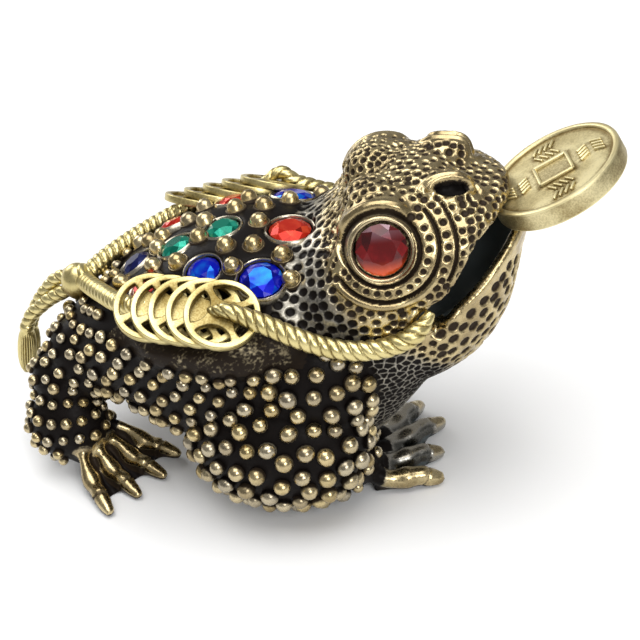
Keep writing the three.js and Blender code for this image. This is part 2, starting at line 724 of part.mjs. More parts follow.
function addPiece(name, manifold, colour, roughness, metalness) {
  const material = new THREE.MeshStandardMaterial({ color: colour, roughness, metalness });
  const mesh = new THREE.Mesh(geometryOf(manifold), material);
  mesh.name = name;
  toad.add(mesh);
}

addPiece('toad_body', toadBody(), 0x3a3226, 0.4, 1);
addPiece('mouth_coin', mouthCoin(), 0xc9b878, 0.4, 1);
addPiece('rope_and_coin_harness', harness(0), 0xc9b878, 0.4, 1);
STONES.forEach(({ name, seat, diameter, colour }) =>
  addPiece(name, cutStone(seat, diameter), colour, 0.1, 0));

// The origin is under the middle of the whole, on the ground
const box = new THREE.Box3().setFromObject(toad);
const middle = box.getCenter(new THREE.Vector3());
toad.position.set(-middle.x, -middle.y, -box.min.z);
export default toad;
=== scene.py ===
"""Money toad figure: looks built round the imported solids.

The toad is cast in dark aged brass with rubbed high spots. It carries a pale harness of rope and
cash coins, twelve faceted stones, and a coin between its lips. Forms are modelled in millimetres
in the toad's own frame (X to the snout, Y to its left, Z up) and settled into the row frame last.
"""

import json
import logging
import math
from dataclasses import dataclass, field
from enum import Enum
from typing import Callable, Iterable, Sequence

import bmesh
import bpy
import numpy as np
from mathutils import Matrix, Vector
from mathutils.kdtree import KDTree

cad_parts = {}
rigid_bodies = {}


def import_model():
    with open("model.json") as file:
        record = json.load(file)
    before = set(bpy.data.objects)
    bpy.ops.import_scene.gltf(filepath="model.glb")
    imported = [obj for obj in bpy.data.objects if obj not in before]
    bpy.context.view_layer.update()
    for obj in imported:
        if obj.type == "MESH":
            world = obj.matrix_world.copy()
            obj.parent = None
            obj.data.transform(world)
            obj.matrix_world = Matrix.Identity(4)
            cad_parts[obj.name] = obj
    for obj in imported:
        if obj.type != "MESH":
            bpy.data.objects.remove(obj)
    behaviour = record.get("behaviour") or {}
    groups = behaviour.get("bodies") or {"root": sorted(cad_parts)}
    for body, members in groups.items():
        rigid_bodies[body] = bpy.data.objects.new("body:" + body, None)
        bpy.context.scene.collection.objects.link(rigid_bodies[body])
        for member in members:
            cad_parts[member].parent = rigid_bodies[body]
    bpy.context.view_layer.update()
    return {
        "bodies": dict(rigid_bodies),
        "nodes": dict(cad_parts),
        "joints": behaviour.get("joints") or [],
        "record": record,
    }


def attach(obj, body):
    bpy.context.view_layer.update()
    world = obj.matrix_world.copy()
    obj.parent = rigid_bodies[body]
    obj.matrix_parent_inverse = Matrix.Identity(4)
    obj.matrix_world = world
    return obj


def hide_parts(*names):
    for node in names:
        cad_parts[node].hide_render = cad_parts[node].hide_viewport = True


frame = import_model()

log = logging.getLogger("money_toad")

Array = np.ndarray
Triple = tuple[float, float, float]
Colour = tuple[float, float, float]
Object = bpy.types.Object
Socket = bpy.types.NodeSocket
Reach = Callable[[int, Array], Array]  # a ring's radii, from the step's number and the angles

MM = 0.001
TOAD_SHIFT = 2.614276885986328  # mm from the toad's own frame to the row frame, along X
HEAD_PIVOT = np.array([4.0, 0.0, 0.0])
HEAD_TURN = math.radians(8)
SIDES = (-1, 1)  # the toad's right and left
SIDE_NAMES = {-1: "right", 1: "left"}
TAU = 2 * math.pi


class Slot(Enum):
    """Material slots of the record."""

    DARK_BRASS = "dark_brass"
    PALE_GOLD = "pale_gold"
    EYE_RED = "eye_red"
    RED = "red"
    GREEN = "green"
    BLUE = "blue"
    NIGHT_BLUE = "night_blue"


# Plain maths


def unit(vector: Sequence[float]) -> Array:
    """Gives the vector a length of one."""
    vector = np.asarray(vector, float)
    return vector / np.linalg.norm(vector)


def turned_z(points: Array, angle: float) -> Array:
    """Turns points or directions about the upright axis."""
    c, s = math.cos(angle), math.sin(angle)
    return np.asarray(points, float) @ np.array([[c, s, 0], [-s, c, 0], [0, 0, 1]])


def from_head(points: Sequence) -> Array:
    """Takes places in the head's own frame to the toad's frame."""
    return turned_z(np.asarray(points, float) - HEAD_PIVOT, HEAD_TURN) + HEAD_PIVOT


def to_head(points: Array) -> Array:
    """Takes places in the toad's frame to the head's own frame."""
    return turned_z(points - HEAD_PIVOT, -HEAD_TURN) + HEAD_PIVOT


def mirrored(place: Sequence[float], side: int) -> Array:
    """Puts a place of the toad's left on the given side."""
    return np.asarray(place, float) * [1, side, 1]


def step(low: float, high: float, value: Array) -> Array:
    """Rises smoothly from 0 at low to 1 at high."""
    t = np.clip((value - low) / (high - low), 0, 1)
    return t * t * (3 - 2 * t)


def band(value: Array, middle: float, half: float) -> Array:
    """Is 1 at the middle and falls smoothly to 0 at half a width away."""
    return 1 - step(0.25 * half, half, np.abs(value - middle))


def run_through(rows: Sequence, stops: Array, at: Array) -> Array:
    """Reads a smooth curve through rows of numbers.

    Args:
        rows: one row of numbers for each stop.
        stops: rising positions of the rows.
        at: positions that are wanted.

    Returns:
        One row for each wanted position.
    """
    rows = np.asarray(rows, float)
    gaps = np.diff(stops)
    slope = np.diff(rows, axis=0) / gaps[:, None]
    lean = np.empty_like(rows)
    share = (gaps[1:] / (gaps[1:] + gaps[:-1]))[:, None]
    lean[1:-1] = slope[:-1] * share + slope[1:] * (1 - share)
    lean[0], lean[-1] = slope[0], slope[-1]
    i = np.clip(np.searchsorted(stops, at) - 1, 0, len(gaps) - 1)
    t = np.clip((at - stops[i]) / gaps[i], 0, 1)[:, None]
    h = gaps[i][:, None]
    return (
        rows[i] * (2 * t**3 - 3 * t**2 + 1)
        + rows[i + 1] * (3 * t**2 - 2 * t**3)
        + lean[i] * h * (t**3 - 2 * t**2 + t)
        + lean[i + 1] * h * (t**3 - t**2)
    )


def along(points: Sequence, pitch: float) -> tuple[Array, Array]:
    """Walks a smooth curve through points in even steps.

    Args:
        points: places on the curve.
        pitch: length of a step.

    Returns:
        The places and, for each, how far along the curve it lies.
    """
    points = np.asarray(points, float)
    stops = np.concatenate([[0], np.cumsum(np.linalg.norm(np.diff(points, axis=0), axis=1))])
    fine = run_through(points, stops, np.linspace(0, stops[-1], 400))
    length = np.concatenate([[0], np.cumsum(np.linalg.norm(np.diff(fine, axis=0), axis=1))])
    count = max(3, round(length[-1] / pitch) + 1)
    at = np.linspace(0, length[-1], count)
    return np.stack([np.interp(at, length, fine[:, k]) for k in range(3)], axis=1), at


def carried_frames(path: Array, first: Sequence[float] = (0, 0, 1)) -> tuple[Array, Array, Array]:
    """Finds a frame at each point of a path that doesn't twist along it.

    Args:
        path: places along the path.
        first: a direction that the frame's second axis starts near.

    Returns:
        Tangents, and the two directions across the path.
    """
    tangent = np.gradient(path, axis=0)
    tangent /= np.linalg.norm(tangent, axis=1)[:, None]
    over = np.empty_like(tangent)
    carried = np.asarray(first, float)
    for i, way in enumerate(tangent):
        carried = unit(carried - way * (carried @ way))
        over[i] = carried
    return tangent, over, np.cross(tangent, over)


# Mesh handling


def deselect() -> None:
    """Leaves nothing selected, in object mode."""
    if bpy.context.mode != "OBJECT":
        bpy.ops.object.mode_set(mode="OBJECT")
    bpy.ops.object.select_all(action="DESELECT")


def pick(obj: Object) -> Object:
    """Makes one object the only selected and active one."""
    deselect()
    obj.select_set(True)
    bpy.context.view_layer.objects.active = obj
    return obj


def from_faces(name: str, points: Array, faces: Sequence) -> Object:
    """Makes a mesh object from its points and faces."""
    mesh = bpy.data.meshes.new(name)
    mesh.from_pydata(np.asarray(points, float).tolist(), [], [list(map(int, f)) for f in faces])
    obj = bpy.data.objects.new(name, mesh)
    bpy.context.scene.collection.objects.link(obj)
    return obj


def finished_with(obj: Object, kind: str, **settings: object) -> Object:
    """Adds a modifier to an object and applies it."""
    pick(obj)
    modifier = obj.modifiers.new(kind.lower(), kind)
    for key, value in settings.items():
        setattr(modifier, key, value)
    bpy.ops.object.modifier_apply(modifier=modifier.name)
    return obj


def joined(name: str, objects: Sequence[Object]) -> Object:
    """Joins objects into the first one and names it."""
    deselect()
    for obj in objects:
        obj.select_set(True)
    bpy.context.view_layer.objects.active = objects[0]
    if len(objects) > 1:
        bpy.ops.object.join()
    objects[0].name = name
    objects[0].data.name = name
    return objects[0]


def primitive(add: Callable, matrix: Matrix | None = None, **settings: object) -> Object:
    """Adds a primitive with nothing else selected.

    Args:
        add: the operator that adds it.
        matrix: a change of place that its mesh gets.
        settings: its sizes and place.

    Returns:
        The primitive, with its place put into its mesh.
    """
    deselect()
    add(**settings)
    obj = bpy.context.object
    bpy.ops.object.transform_apply(location=True, rotation=True, scale=True)
    if matrix is not None:
        obj.data.transform(matrix)
    return obj


def read(items: bpy.types.bpy_prop_collection, name: str, width: int, kind: type) -> Array:
    """Reads one property of all a mesh's points or edges, a row for each."""
    flat = np.empty(len(items) * width, kind)
    items.foreach_get(name, flat)
    return flat.reshape(-1, width)


def points_of(obj: Object) -> Array:
    """Reads a mesh's points."""
    return read(obj.data.vertices, "co", 3, np.float32).astype(float)


def normals_of(obj: Object) -> Array:
    """Reads the normals at a mesh's points."""
    return read(obj.data.vertices, "normal", 3, np.float32).astype(float)


def edges_of(obj: Object) -> Array:
    """Reads the two ends of each edge."""
    return read(obj.data.edges, "vertices", 2, np.int32)


def set_points(obj: Object, points: Array) -> None:
    """Writes a mesh's points."""
    obj.data.vertices.foreach_set("co", points.astype(np.float32).ravel())
    obj.data.update()


def evened(values: Array, edges: Array, rounds: int, held: Array | None = None) -> Array:
    """Moves values at a mesh's points halfway to the mean of their neighbours' values.

    Args:
        values: one row of numbers for each point.
        edges: the two ends of each edge.
        rounds: how often it is done.
        held: points whose values stay.

    Returns:
        The evened values.
    """
    values = np.array(values, float)
    wide = values.reshape(len(values), -1)
    ends = np.concatenate([edges[:, 0], edges[:, 1]])
    others = np.concatenate([edges[:, 1], edges[:, 0]])
    count = np.maximum(np.bincount(ends, minlength=len(values)), 1)
    moves = 0.5 if held is None else np.where(held, 0.0, 0.5)
    for _ in range(rounds):
        for k in range(wide.shape[1]):
            mean = np.bincount(ends, wide[others, k], len(values)) / count
            wide[:, k] += moves * (mean - wide[:, k])
    return wide.reshape(values.shape)


def write_value(obj: Object, name: str, values: Array) -> None:
    """Keeps one number for each point of a mesh, for its material to read."""
    layer = obj.data.attributes.get(name) or obj.data.attributes.new(name, "FLOAT", "POINT")
    layer.data.foreach_set("value", np.asarray(values, np.float32))


def tree_of(points: Array) -> KDTree:
    """Makes a search tree over points."""
    tree = KDTree(len(points))
    for i, place in enumerate(points):
        tree.insert(place, i)
    tree.balance()
    return tree


def nearest(tree: KDTree, points: Array, count: int) -> tuple[Array, Array]:
    """Finds each point's nearest neighbours in a tree.

    Args:
        tree: the tree that is searched.
        points: places to search from.
        count: how many neighbours each place gets.

    Returns:
        Their numbers and their distances, a row for each place.
    """
    number = np.zeros((len(points), count), int)
    reach = np.full((len(points), count), 1e9)
    for i, place in enumerate(points):
        for k, (_, found, distance) in enumerate(tree.find_n(place, count)):
            number[i, k], reach[i, k] = found, distance
    return number, reach


def way_to(places: Array, points: Array) -> Array:
    """Gives each point's way to the nearest of the places."""
    return nearest(tree_of(places), points, 1)[1][:, 0]


def skin(rings: Array) -> tuple[Array, list]:
    """Closes a skin over rings of equal count, with a fan over each end.

    Args:
        rings: the rings' points, ring by ring.

    Returns:
        The skin's points and faces.
    """
    rows, count = rings.shape[:2]
    points = np.concatenate([rings.reshape(-1, 3), rings[:1].mean(1), rings[-1:].mean(1)])
    k = np.arange(count)
    after = (k + 1) % count
    faces: list = []
    for i in range(rows - 1):
        a, b = i * count + k, i * count + after
        faces += np.stack([a, b, b + count, a + count], axis=1).tolist()
    first, last = rows * count, rows * count + 1
    faces += np.stack([np.full(count, first), after, k], axis=1).tolist()
    end = (rows - 1) * count
    faces += np.stack([np.full(count, last), end + k, end + after], axis=1).tolist()
    return points, faces


def swept(
    name: str, path: Array, reach: Reach, sides: int, first: Sequence[float] = (0, 0, 1)
) -> Object:
    """Sweeps a ring along a path.

    Args:
        name: the object's name.
        path: places along the path.
        reach: gives the ring's radii from the step's number and the angles round the ring.
        sides: points of a ring.
        first: direction that the first ring's zero angle is near.

    Returns:
        The closed tube.
    """
    _, over, across = carried_frames(path, first)
    angles = np.linspace(0, TAU, sides, endpoint=False)
    rings = np.empty((len(path), sides, 3))
    for i, centre in enumerate(path):
        radii = reach(i, angles)[:, None]
        rings[i] = centre + radii * (
            np.cos(angles)[:, None] * over[i] + np.sin(angles)[:, None] * across[i]
        )
    return from_faces(name, *skin(rings))


def turned_rings(profile: Sequence, sides: int) -> Array:
    """Turns a profile of (radius, height) about the upright axis, a ring for each of its points."""
    angles = np.linspace(0, TAU, sides, endpoint=False)
    return np.array([[(r * math.cos(a), r * math.sin(a), z) for a in angles] for r, z in profile])


def lathed(name: str, profile: Sequence, sides: int) -> Object:
    """Closes a turned profile that starts low and ends high."""
    return from_faces(name, *skin(turned_rings(profile, sides)))


def stand(place: Sequence[float], axis: Sequence[float], spin: float = 0.0) -> Matrix:
    """Gives the matrix that stands a thing along an axis at a place."""
    turn = Vector((0, 0, 1)).rotation_difference(Vector(axis)).to_matrix().to_4x4()
    return Matrix.Translation(Vector(place)) @ turn @ Matrix.Rotation(spin, 4, "Z")


def lay(place: Sequence[float], out: Array, way: Array) -> Matrix:
    """Gives the matrix that lays a thing on a slope, its Z along out and its X along the way."""
    across = unit(np.cross(out, way))
    columns = np.stack([np.cross(across, out), across, out, place], axis=1)
    return Matrix([*columns.tolist(), (0, 0, 0, 1)])


def into_row_frame(obj: Object, slot: Slot, *nodes: str) -> None:
    """Settles a finished piece in the row frame and ties it to what it stands for.

    Args:
        obj: the piece, in millimetres in the toad's frame.
        slot: the record's material slot of its finish.
        nodes: CAD nodes that it replaces.
    """
    obj.data.transform(Matrix.Translation((TOAD_SHIFT * MM, 0, 0)) @ Matrix.Scale(MM, 4))
    obj.data.update()
    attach(obj, "root")
    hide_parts(*nodes)
    faces = sum(len(p.vertices) - 2 for p in obj.data.polygons)
    log.info("%s: %d triangles, finish %s", obj.name, faces, slot.value)


def dressed(obj: Object, finish: bpy.types.Material) -> Object:
    """Gives an object one finish all over."""
    obj.data.materials.clear()
    obj.data.materials.append(finish)
    return obj


def smooth(obj: Object, angle: float = 180) -> Object:
    """Shades a piece smooth, with edges sharper than the angle kept."""
    pick(obj)
    if angle >= 180:
        bpy.ops.object.shade_smooth()
    else:
        bpy.ops.object.shade_smooth_by_angle(angle=math.radians(angle))
    return obj


# Forms that the body is joined from, and others that are cut out of it


@dataclass(frozen=True)
class Ball:
    """A stretched ball, such as a muscle or a knob."""

    centre: Sequence[float]
    radii: Triple
    power: float = 2.0  # over 2 makes it boxier

    def build(self) -> Object:
        """Makes the ball."""
        add = bpy.ops.mesh.primitive_uv_sphere_add
        ball = primitive(add, segments=40, ring_count=24, radius=1)
        points = points_of(ball)
        points /= (np.abs(points) ** self.power).sum(1)[:, None] ** (1 / self.power)
        set_points(ball, points * self.radii + self.centre)
        return ball


def mass_level(balls: Iterable[Ball], points: Array) -> Array:
    """Tells how far out of the nearest ball points lie; its skin is at 1."""
    levels = [(((points - ball.centre) / ball.radii) ** 2).sum(1) for ball in balls]
    return np.minimum.reduce(levels)


@dataclass(frozen=True)
class Bar:
    """A round bar along a smooth curve, with radii spread evenly over its length."""

    points: Sequence[Sequence[float]]
    radii: Sequence[float]
    pitch: float = 0.6  # mm from ring to ring
    sides: int = 28

    def build(self) -> Object:
        """Makes the bar."""
        path, at = along(self.points, self.pitch)
        stops = np.linspace(0, at[-1], len(self.radii))
        radii = run_through([[r] for r in self.radii], stops, at)[:, 0]
        return swept("bar", path, lambda i, angles: np.full(len(angles), radii[i]), self.sides)


@dataclass(frozen=True)
class Hull:
    """A form through upright sections: X, height, half width, rise above and drop below."""

    stations: Sequence[Sequence[float]]
    power: float = 2.2
    rings: int = 60
    sides: int = 64

    def build(self) -> Object:
        """Makes the form."""
        rows = self._rows(np.linspace(self.stations[0][0], self.stations[-1][0], self.rings))
        turn = np.linspace(0, TAU, self.sides, endpoint=False)
        c, s = np.cos(turn), np.sin(turn)
        wide = np.sign(c) * np.abs(c) ** (2 / self.power)
        high = np.sign(s) * np.abs(s) ** (2 / self.power)
        rings = np.empty((len(rows), len(turn), 3))
        for ring, (x, z, half, above, below) in zip(rings, rows):
            ring[:, 0], ring[:, 1] = x, half * wide
            ring[:, 2] = z + np.where(s > 0, above, below) * high
        return from_faces("hull", *skin(rings))

    def _rows(self, at: Array) -> Array:
        """Reads the sections at places along X."""
        stations = np.array(self.stations, float)
        return run_through(stations, stations[:, 0], at)

    def level(self, points: Array) -> Array:
        """Tells how far out points lie: under 1 is inside, over 1 outside."""
        x, z, half, above, below = self._rows(points[:, 0]).T
        rise = points[:, 2] - z
        measure = (np.abs(points[:, 1]) / half) ** self.power + (
            np.abs(rise) / np.where(rise > 0, above, below)
        ) ** self.power
        beyond = np.maximum(self.stations[0][0] - points[:, 0], points[:, 0] - self.stations[-1][0])
        return np.where(beyond > 0, 9.0, measure)


TRUNK = Hull(
    [
        [-39, 20.5, 3.0, 2.4, 3.0],
        [-36.6, 20.5, 6.8, 4.8, 6.0],
        [-33, 20.6, 10.4, 7.4, 6.6],
        [-28, 21.5, 13.4, 10.6, 7.8],
        [-22, 22.5, 16.4, 13.4, 11.9],
        [-15, 23.5, 18.5, 15.2, 17.2],
        [-8, 24, 19, 15.8, 18.6],
        [-1, 24, 18, 15.4, 19.0],
        [5, 24, 14.5, 14.6, 18.6],
    ],
    2.4,
)
NECK = Hull(
    [
        [-7, 29, 12, 8, 20],
        [-1, 30, 14.4, 9.4, 24],
        [4, 32, 15.4, 10.6, 28],
        [8.5, 33.5, 15.8, 13.4, 26],
        [13, 34.2, 15.4, 14.2, 21.5],
        [16.5, 34.2, 13.6, 13.4, 17.2],
    ]
)
UPPER_JAW = Hull(
    [
        [12, 36.0, 15.0, 13.0, 3.0],
        [16, 35.0, 15.2, 14.2, 1.4],
        [19.5, 36.6, 14.4, 12.0, 0.9],
        [21.5, 39.6, 13.6, 7.7, 0.9],
        [23.7, 42.5, 11.4, 4.2, 0.8],
        [25.6, 43.3, 8.8, 3.0, 0.8],
        [27.2, 43.9, 5.6, 2.2, 0.7],
        [28.3, 44.2, 2.8, 1.2, 0.5],
    ]
)
LOWER_JAW = Hull(
    [
        [11, 27.0, 13.0, 1.0, 13.0],
        [15, 27.6, 13.6, 1.0, 11.4],
        [19, 30.6, 13.4, 1.0, 12.8],
        [23, 34.0, 11.2, 0.9, 14.0],
        [26, 36.4, 9.0, 0.8, 12.7],
        [28.0, 38.0, 6.6, 0.8, 10.1],
        [29.3, 39.7, 4.2, 0.6, 6.7],
        [30.1, 40.5, 1.9, 0.4, 3.7],
    ]
)
MOUTH_HOLLOW = Hull(
    [
        [9, 32, 5.0, 1.6, 2.4],
        [13, 32.4, 9.6, 3.6, 4.2],
        [17, 33.4, 11.4, 4.4, 6.6],
        [21, 36, 11.2, 5.0, 7.6],
        [24.6, 38.6, 8.6, 5.0, 8.4],
        [27, 39.8, 5.6, 4.2, 6.4],
        [28.8, 40.4, 2.6, 3.0, 3.8],
    ],
    2.0,
)
MOUTH_SLIT = Hull(
    [
        [14.6, 32.2, 20, 0.6, 0.6],
        [16, 32.2, 20, 1.8, 1.8],
        [18.4, 32.8, 20, 2.6, 2.4],
        [21, 35, 20, 2.6, 2.4],
    ],
    2.0,
)


@dataclass(frozen=True)
class Foot:
    """A hand or foot of four webbed toes, each with a knuckle and a pointed nail."""

    root: Triple
    root_turn: float  # degrees
    heading: float
    spread: float
    reach: tuple[float, float, float, float]
    side: int = 1
    thickness: float = 1.3  # half of a toe's
    pitch: float = 2.6
    sunk: float = 0.5
    web_edge: float = 0.76
    web_notch: float = 0.64
    instep: float = 3.4  # height at which the toes leave the leg
    gather: float = 1.0  # how far the toes' starts keep their distance
    shank: float = 0.86  # share of a toe's thickness before its knuckle
    worn_from: float = -0.8  # height over its middle line where a toe's gold begins, in thicknesses
    dull_toes: int = 0  # toes, from the inner one, that are steel grey up to their nails

    def roots(self) -> Array:
        """Places where the toes leave the wrist."""
        fan = np.arange(4) - 1.5
        turn = math.radians(self.root_turn)
        x = self.root[0] + fan * self.pitch * math.cos(turn)
        y = self.side * (self.root[1] + fan * self.pitch * math.sin(turn))
        return np.stack([x, y, np.full(4, self.root[2])], axis=1)

    def tips(self) -> Array:
        """Places of the toes' ends."""
        angle = np.radians(self.heading + (np.arange(4) - 1.5) * self.spread)
        away = np.stack([np.cos(angle), self.side * np.sin(angle)], axis=1)
        tips = self.roots()
        tips[:, :2] += away * np.array(self.reach)[:, None]
        tips[:, 2] = self.thickness * 0.5
        return tips

    def ahead(self) -> Array:
        """Gives the level direction from the wrist's line to the toes."""
        turn = math.radians(self.root_turn)
        across = np.array([-self.side * math.sin(turn), math.cos(turn), 0.0])
        return across * np.sign(across @ (self.tips() - self.roots()).mean(0))

    def at(self, share: float, height: float) -> Array:
        """Places part of the way along the toes, at one height."""
        places = self.roots() * (1 - share) + self.tips() * share
        places[:, 2] = height
        return places

    def routes(self) -> list[list[Array]]:
        """Gives the places that each toe's middle line runs through."""
        t = self.thickness
        heights = [(0.3, 0.6 * self.instep), (0.52, 1.25 * t), (0.66, 1.3 * t), (0.8, 0.85 * t)]
        stops = [self.at(share, height) for share, height in heights]
        starts = self.roots()
        starts = starts.mean(0) + (starts - starts.mean(0)) * self.gather
        starts[:, 2] = self.instep
        ends = enumerate(zip(starts, self.tips()))
        return [[start, *(stop[i] for stop in stops), tip] for i, (start, tip) in ends]

    def forms(self) -> list[Object]:
        """Makes the toes and the web between them."""
        thin = self.shank
        swell = [0.7 * thin, 0.93 * thin, thin, thin, 0.5 * thin + 0.56]
        swell = np.array([*swell, 1.12, 0.86, 0.98, 0.9, 0.78, 0.55])
        routes = self.routes()
        toes = [Bar(route, (swell * self.thickness).tolist()).build() for route in routes]
        lines = [along(route, 0.1)[0] for route in routes]
        return [*toes, *(self._web(*pair) for pair in zip(lines, lines[1:]))]

    def _web(self, first: Array, second: Array) -> Object:
        """Fills the room between two toes, from their middle lines down to the floor."""
        rings = []
        for share in np.linspace(0, 1, 14):
            edge, notch = self.web_edge * share, self.web_notch * share
            a, b = (line[int(edge * (len(line) - 1))] for line in (first, second))
            middle = sum(line[int(notch * (len(line) - 1))] for line in (first, second)) / 2
            drop = self.thickness * (0.3 + 0.5 * share)
            top = np.array([a, middle, b]) - [0, 0, drop]
            top[1, 2] -= 0.2 * self.thickness
            top[:, 2] = np.maximum(top[:, 2], 0.35)
            rings.append(np.concatenate([top, top[::-1] * [1, 1, 0] - [0, 0, self.sunk]]))
        return from_faces("web", *skin(np.array(rings)))


@dataclass(frozen=True)
class Arm:
    """A front leg: shoulder, upper arm, forearm and hand."""

    side: int
    shift: float
    hand: Foot

    def masses(self) -> list[Ball]:
        """Gives the two muscle masses."""
        return [
            Ball((0.5 + self.shift, self.side * 12.5, 22), (9.5, 7, 9.5)),
            Ball((-4.1 + self.shift, self.side * 14.4, 12.4), (12.6, 8.1, 9.6)),
        ]

    def forearm(self) -> list[Triple]:
        """Gives the places that the forearm runs through."""
        wrist = self.hand.root
        return [
            (-2 + self.shift, self.side * 13.5, 8),
            (4 + self.shift, self.side * 10.6, 6.0),
            (wrist[0] - 0.6, self.side * wrist[1], 2.6),
        ]

    def forms(self) -> list[Object]:
        """Makes the whole arm."""
        forearm = Bar(self.forearm(), [6.2, 5.0, 4.1, 2.2])
        return [*(mass.build() for mass in self.masses()), forearm.build(), *self.hand.forms()]


HAND_REACH = (10.6, 11.4, 14.0, 12.9)
NEAR_ARM = Arm(-1, 0, Foot((7.4, 6.2, 2.4), -95, -43, -16.5, HAND_REACH, -1, 1.6, 3.0, dull_toes=3))
FAR_ARM = Arm(
    1, -13, Foot((-5, 9, 2.4), -90, -8, -17, (10.2, 10.6, 12.6, 12.2), 1, 1.6, 3.0, dull_toes=3)
)
REAR_FOOT = Foot(
    (-36, -6, 2.6), 63, -31, 13.5, (12.3, 12.5, 12.6, 11.4),
    thickness=1.4, instep=6.2, gather=0.7, shank=0.62, worn_from=-0.2,
)
ARMS = (NEAR_ARM, FAR_ARM)
FEET = (NEAR_ARM.hand, FAR_ARM.hand, REAR_FOOT)
REAR_MASSES = [
    Ball((-33.8, -3.5, 18.4), (7.4, 6.4, 7.2)),
    Ball((-38.6, -4.6, 14.8), (5.6, 5.0, 4.8)),
    Ball((-39.1, -7.0, 8.2), (5.9, 4.8, 6.2)),
]
ANKLE = Bar([(-38.6, -7.2, 7), (-36.2, -6.4, 3.2)], [4.3, 3.5])
COIN_BED = [(-24, 11.5, 27.6), (-17, 14.2, 28.6), (-8, 16.2, 29.2), (-2, 15.6, 28.0)]
HEAD_BALLS = [
    ((10.1, 4.4, 44.6), (4.85, 4.4, 4.75), 2.1),  # knobs over the eyes
    ((19.7, 4.9, 46.0), (3.5, 2.9, 3.5), 3.2),  # hoods of the nostrils
    ((11.1, 8.2, 42.2), (5.9, 4.4, 6.1), 2.0),  # eye mounds
]


def coin_bed(side: int) -> Array:
    """Gives the middle line of the swelling under one string of coins."""
    return np.array([mirrored(place, side) for place in COIN_BED])


def head_matrix() -> Matrix:
    """Gives the matrix that takes the head's own frame to the toad's."""
    pivot = Vector(HEAD_PIVOT)
    turn = Matrix.Translation(pivot) @ Matrix.Rotation(HEAD_TURN, 4, "Z")
    return turn @ Matrix.Translation(-pivot)


def in_head(objects: Iterable[Object]) -> list[Object]:
    """Takes objects made in the head's own frame to the toad's."""
    made = list(objects)
    for obj in made:
        obj.data.transform(head_matrix())
    return made


# Harness of rope and cash coins


@dataclass(frozen=True)
class CoinSeat:
    """Where one cash coin of a string lies."""

    place: Array
    out: Array
    way: Array


@dataclass(frozen=True)
class RopeKind:
    """The sizes of a twisted rope, in mm."""

    diameter: float
    strands: int
    lay: float  # length in which a strand goes once round
    taper: float = 0.8  # length over which it grows to its full thickness
    tip: float = 0.8  # length over which it thins at its end


FRONT_ROPE = RopeKind(2.85, 3, 4.5, 7.0, 3.4)
REAR_ROPE = RopeKind(2.9, 2, 2.3)
TAIL_ROPE = RopeKind(2.2, 2, 3.0)


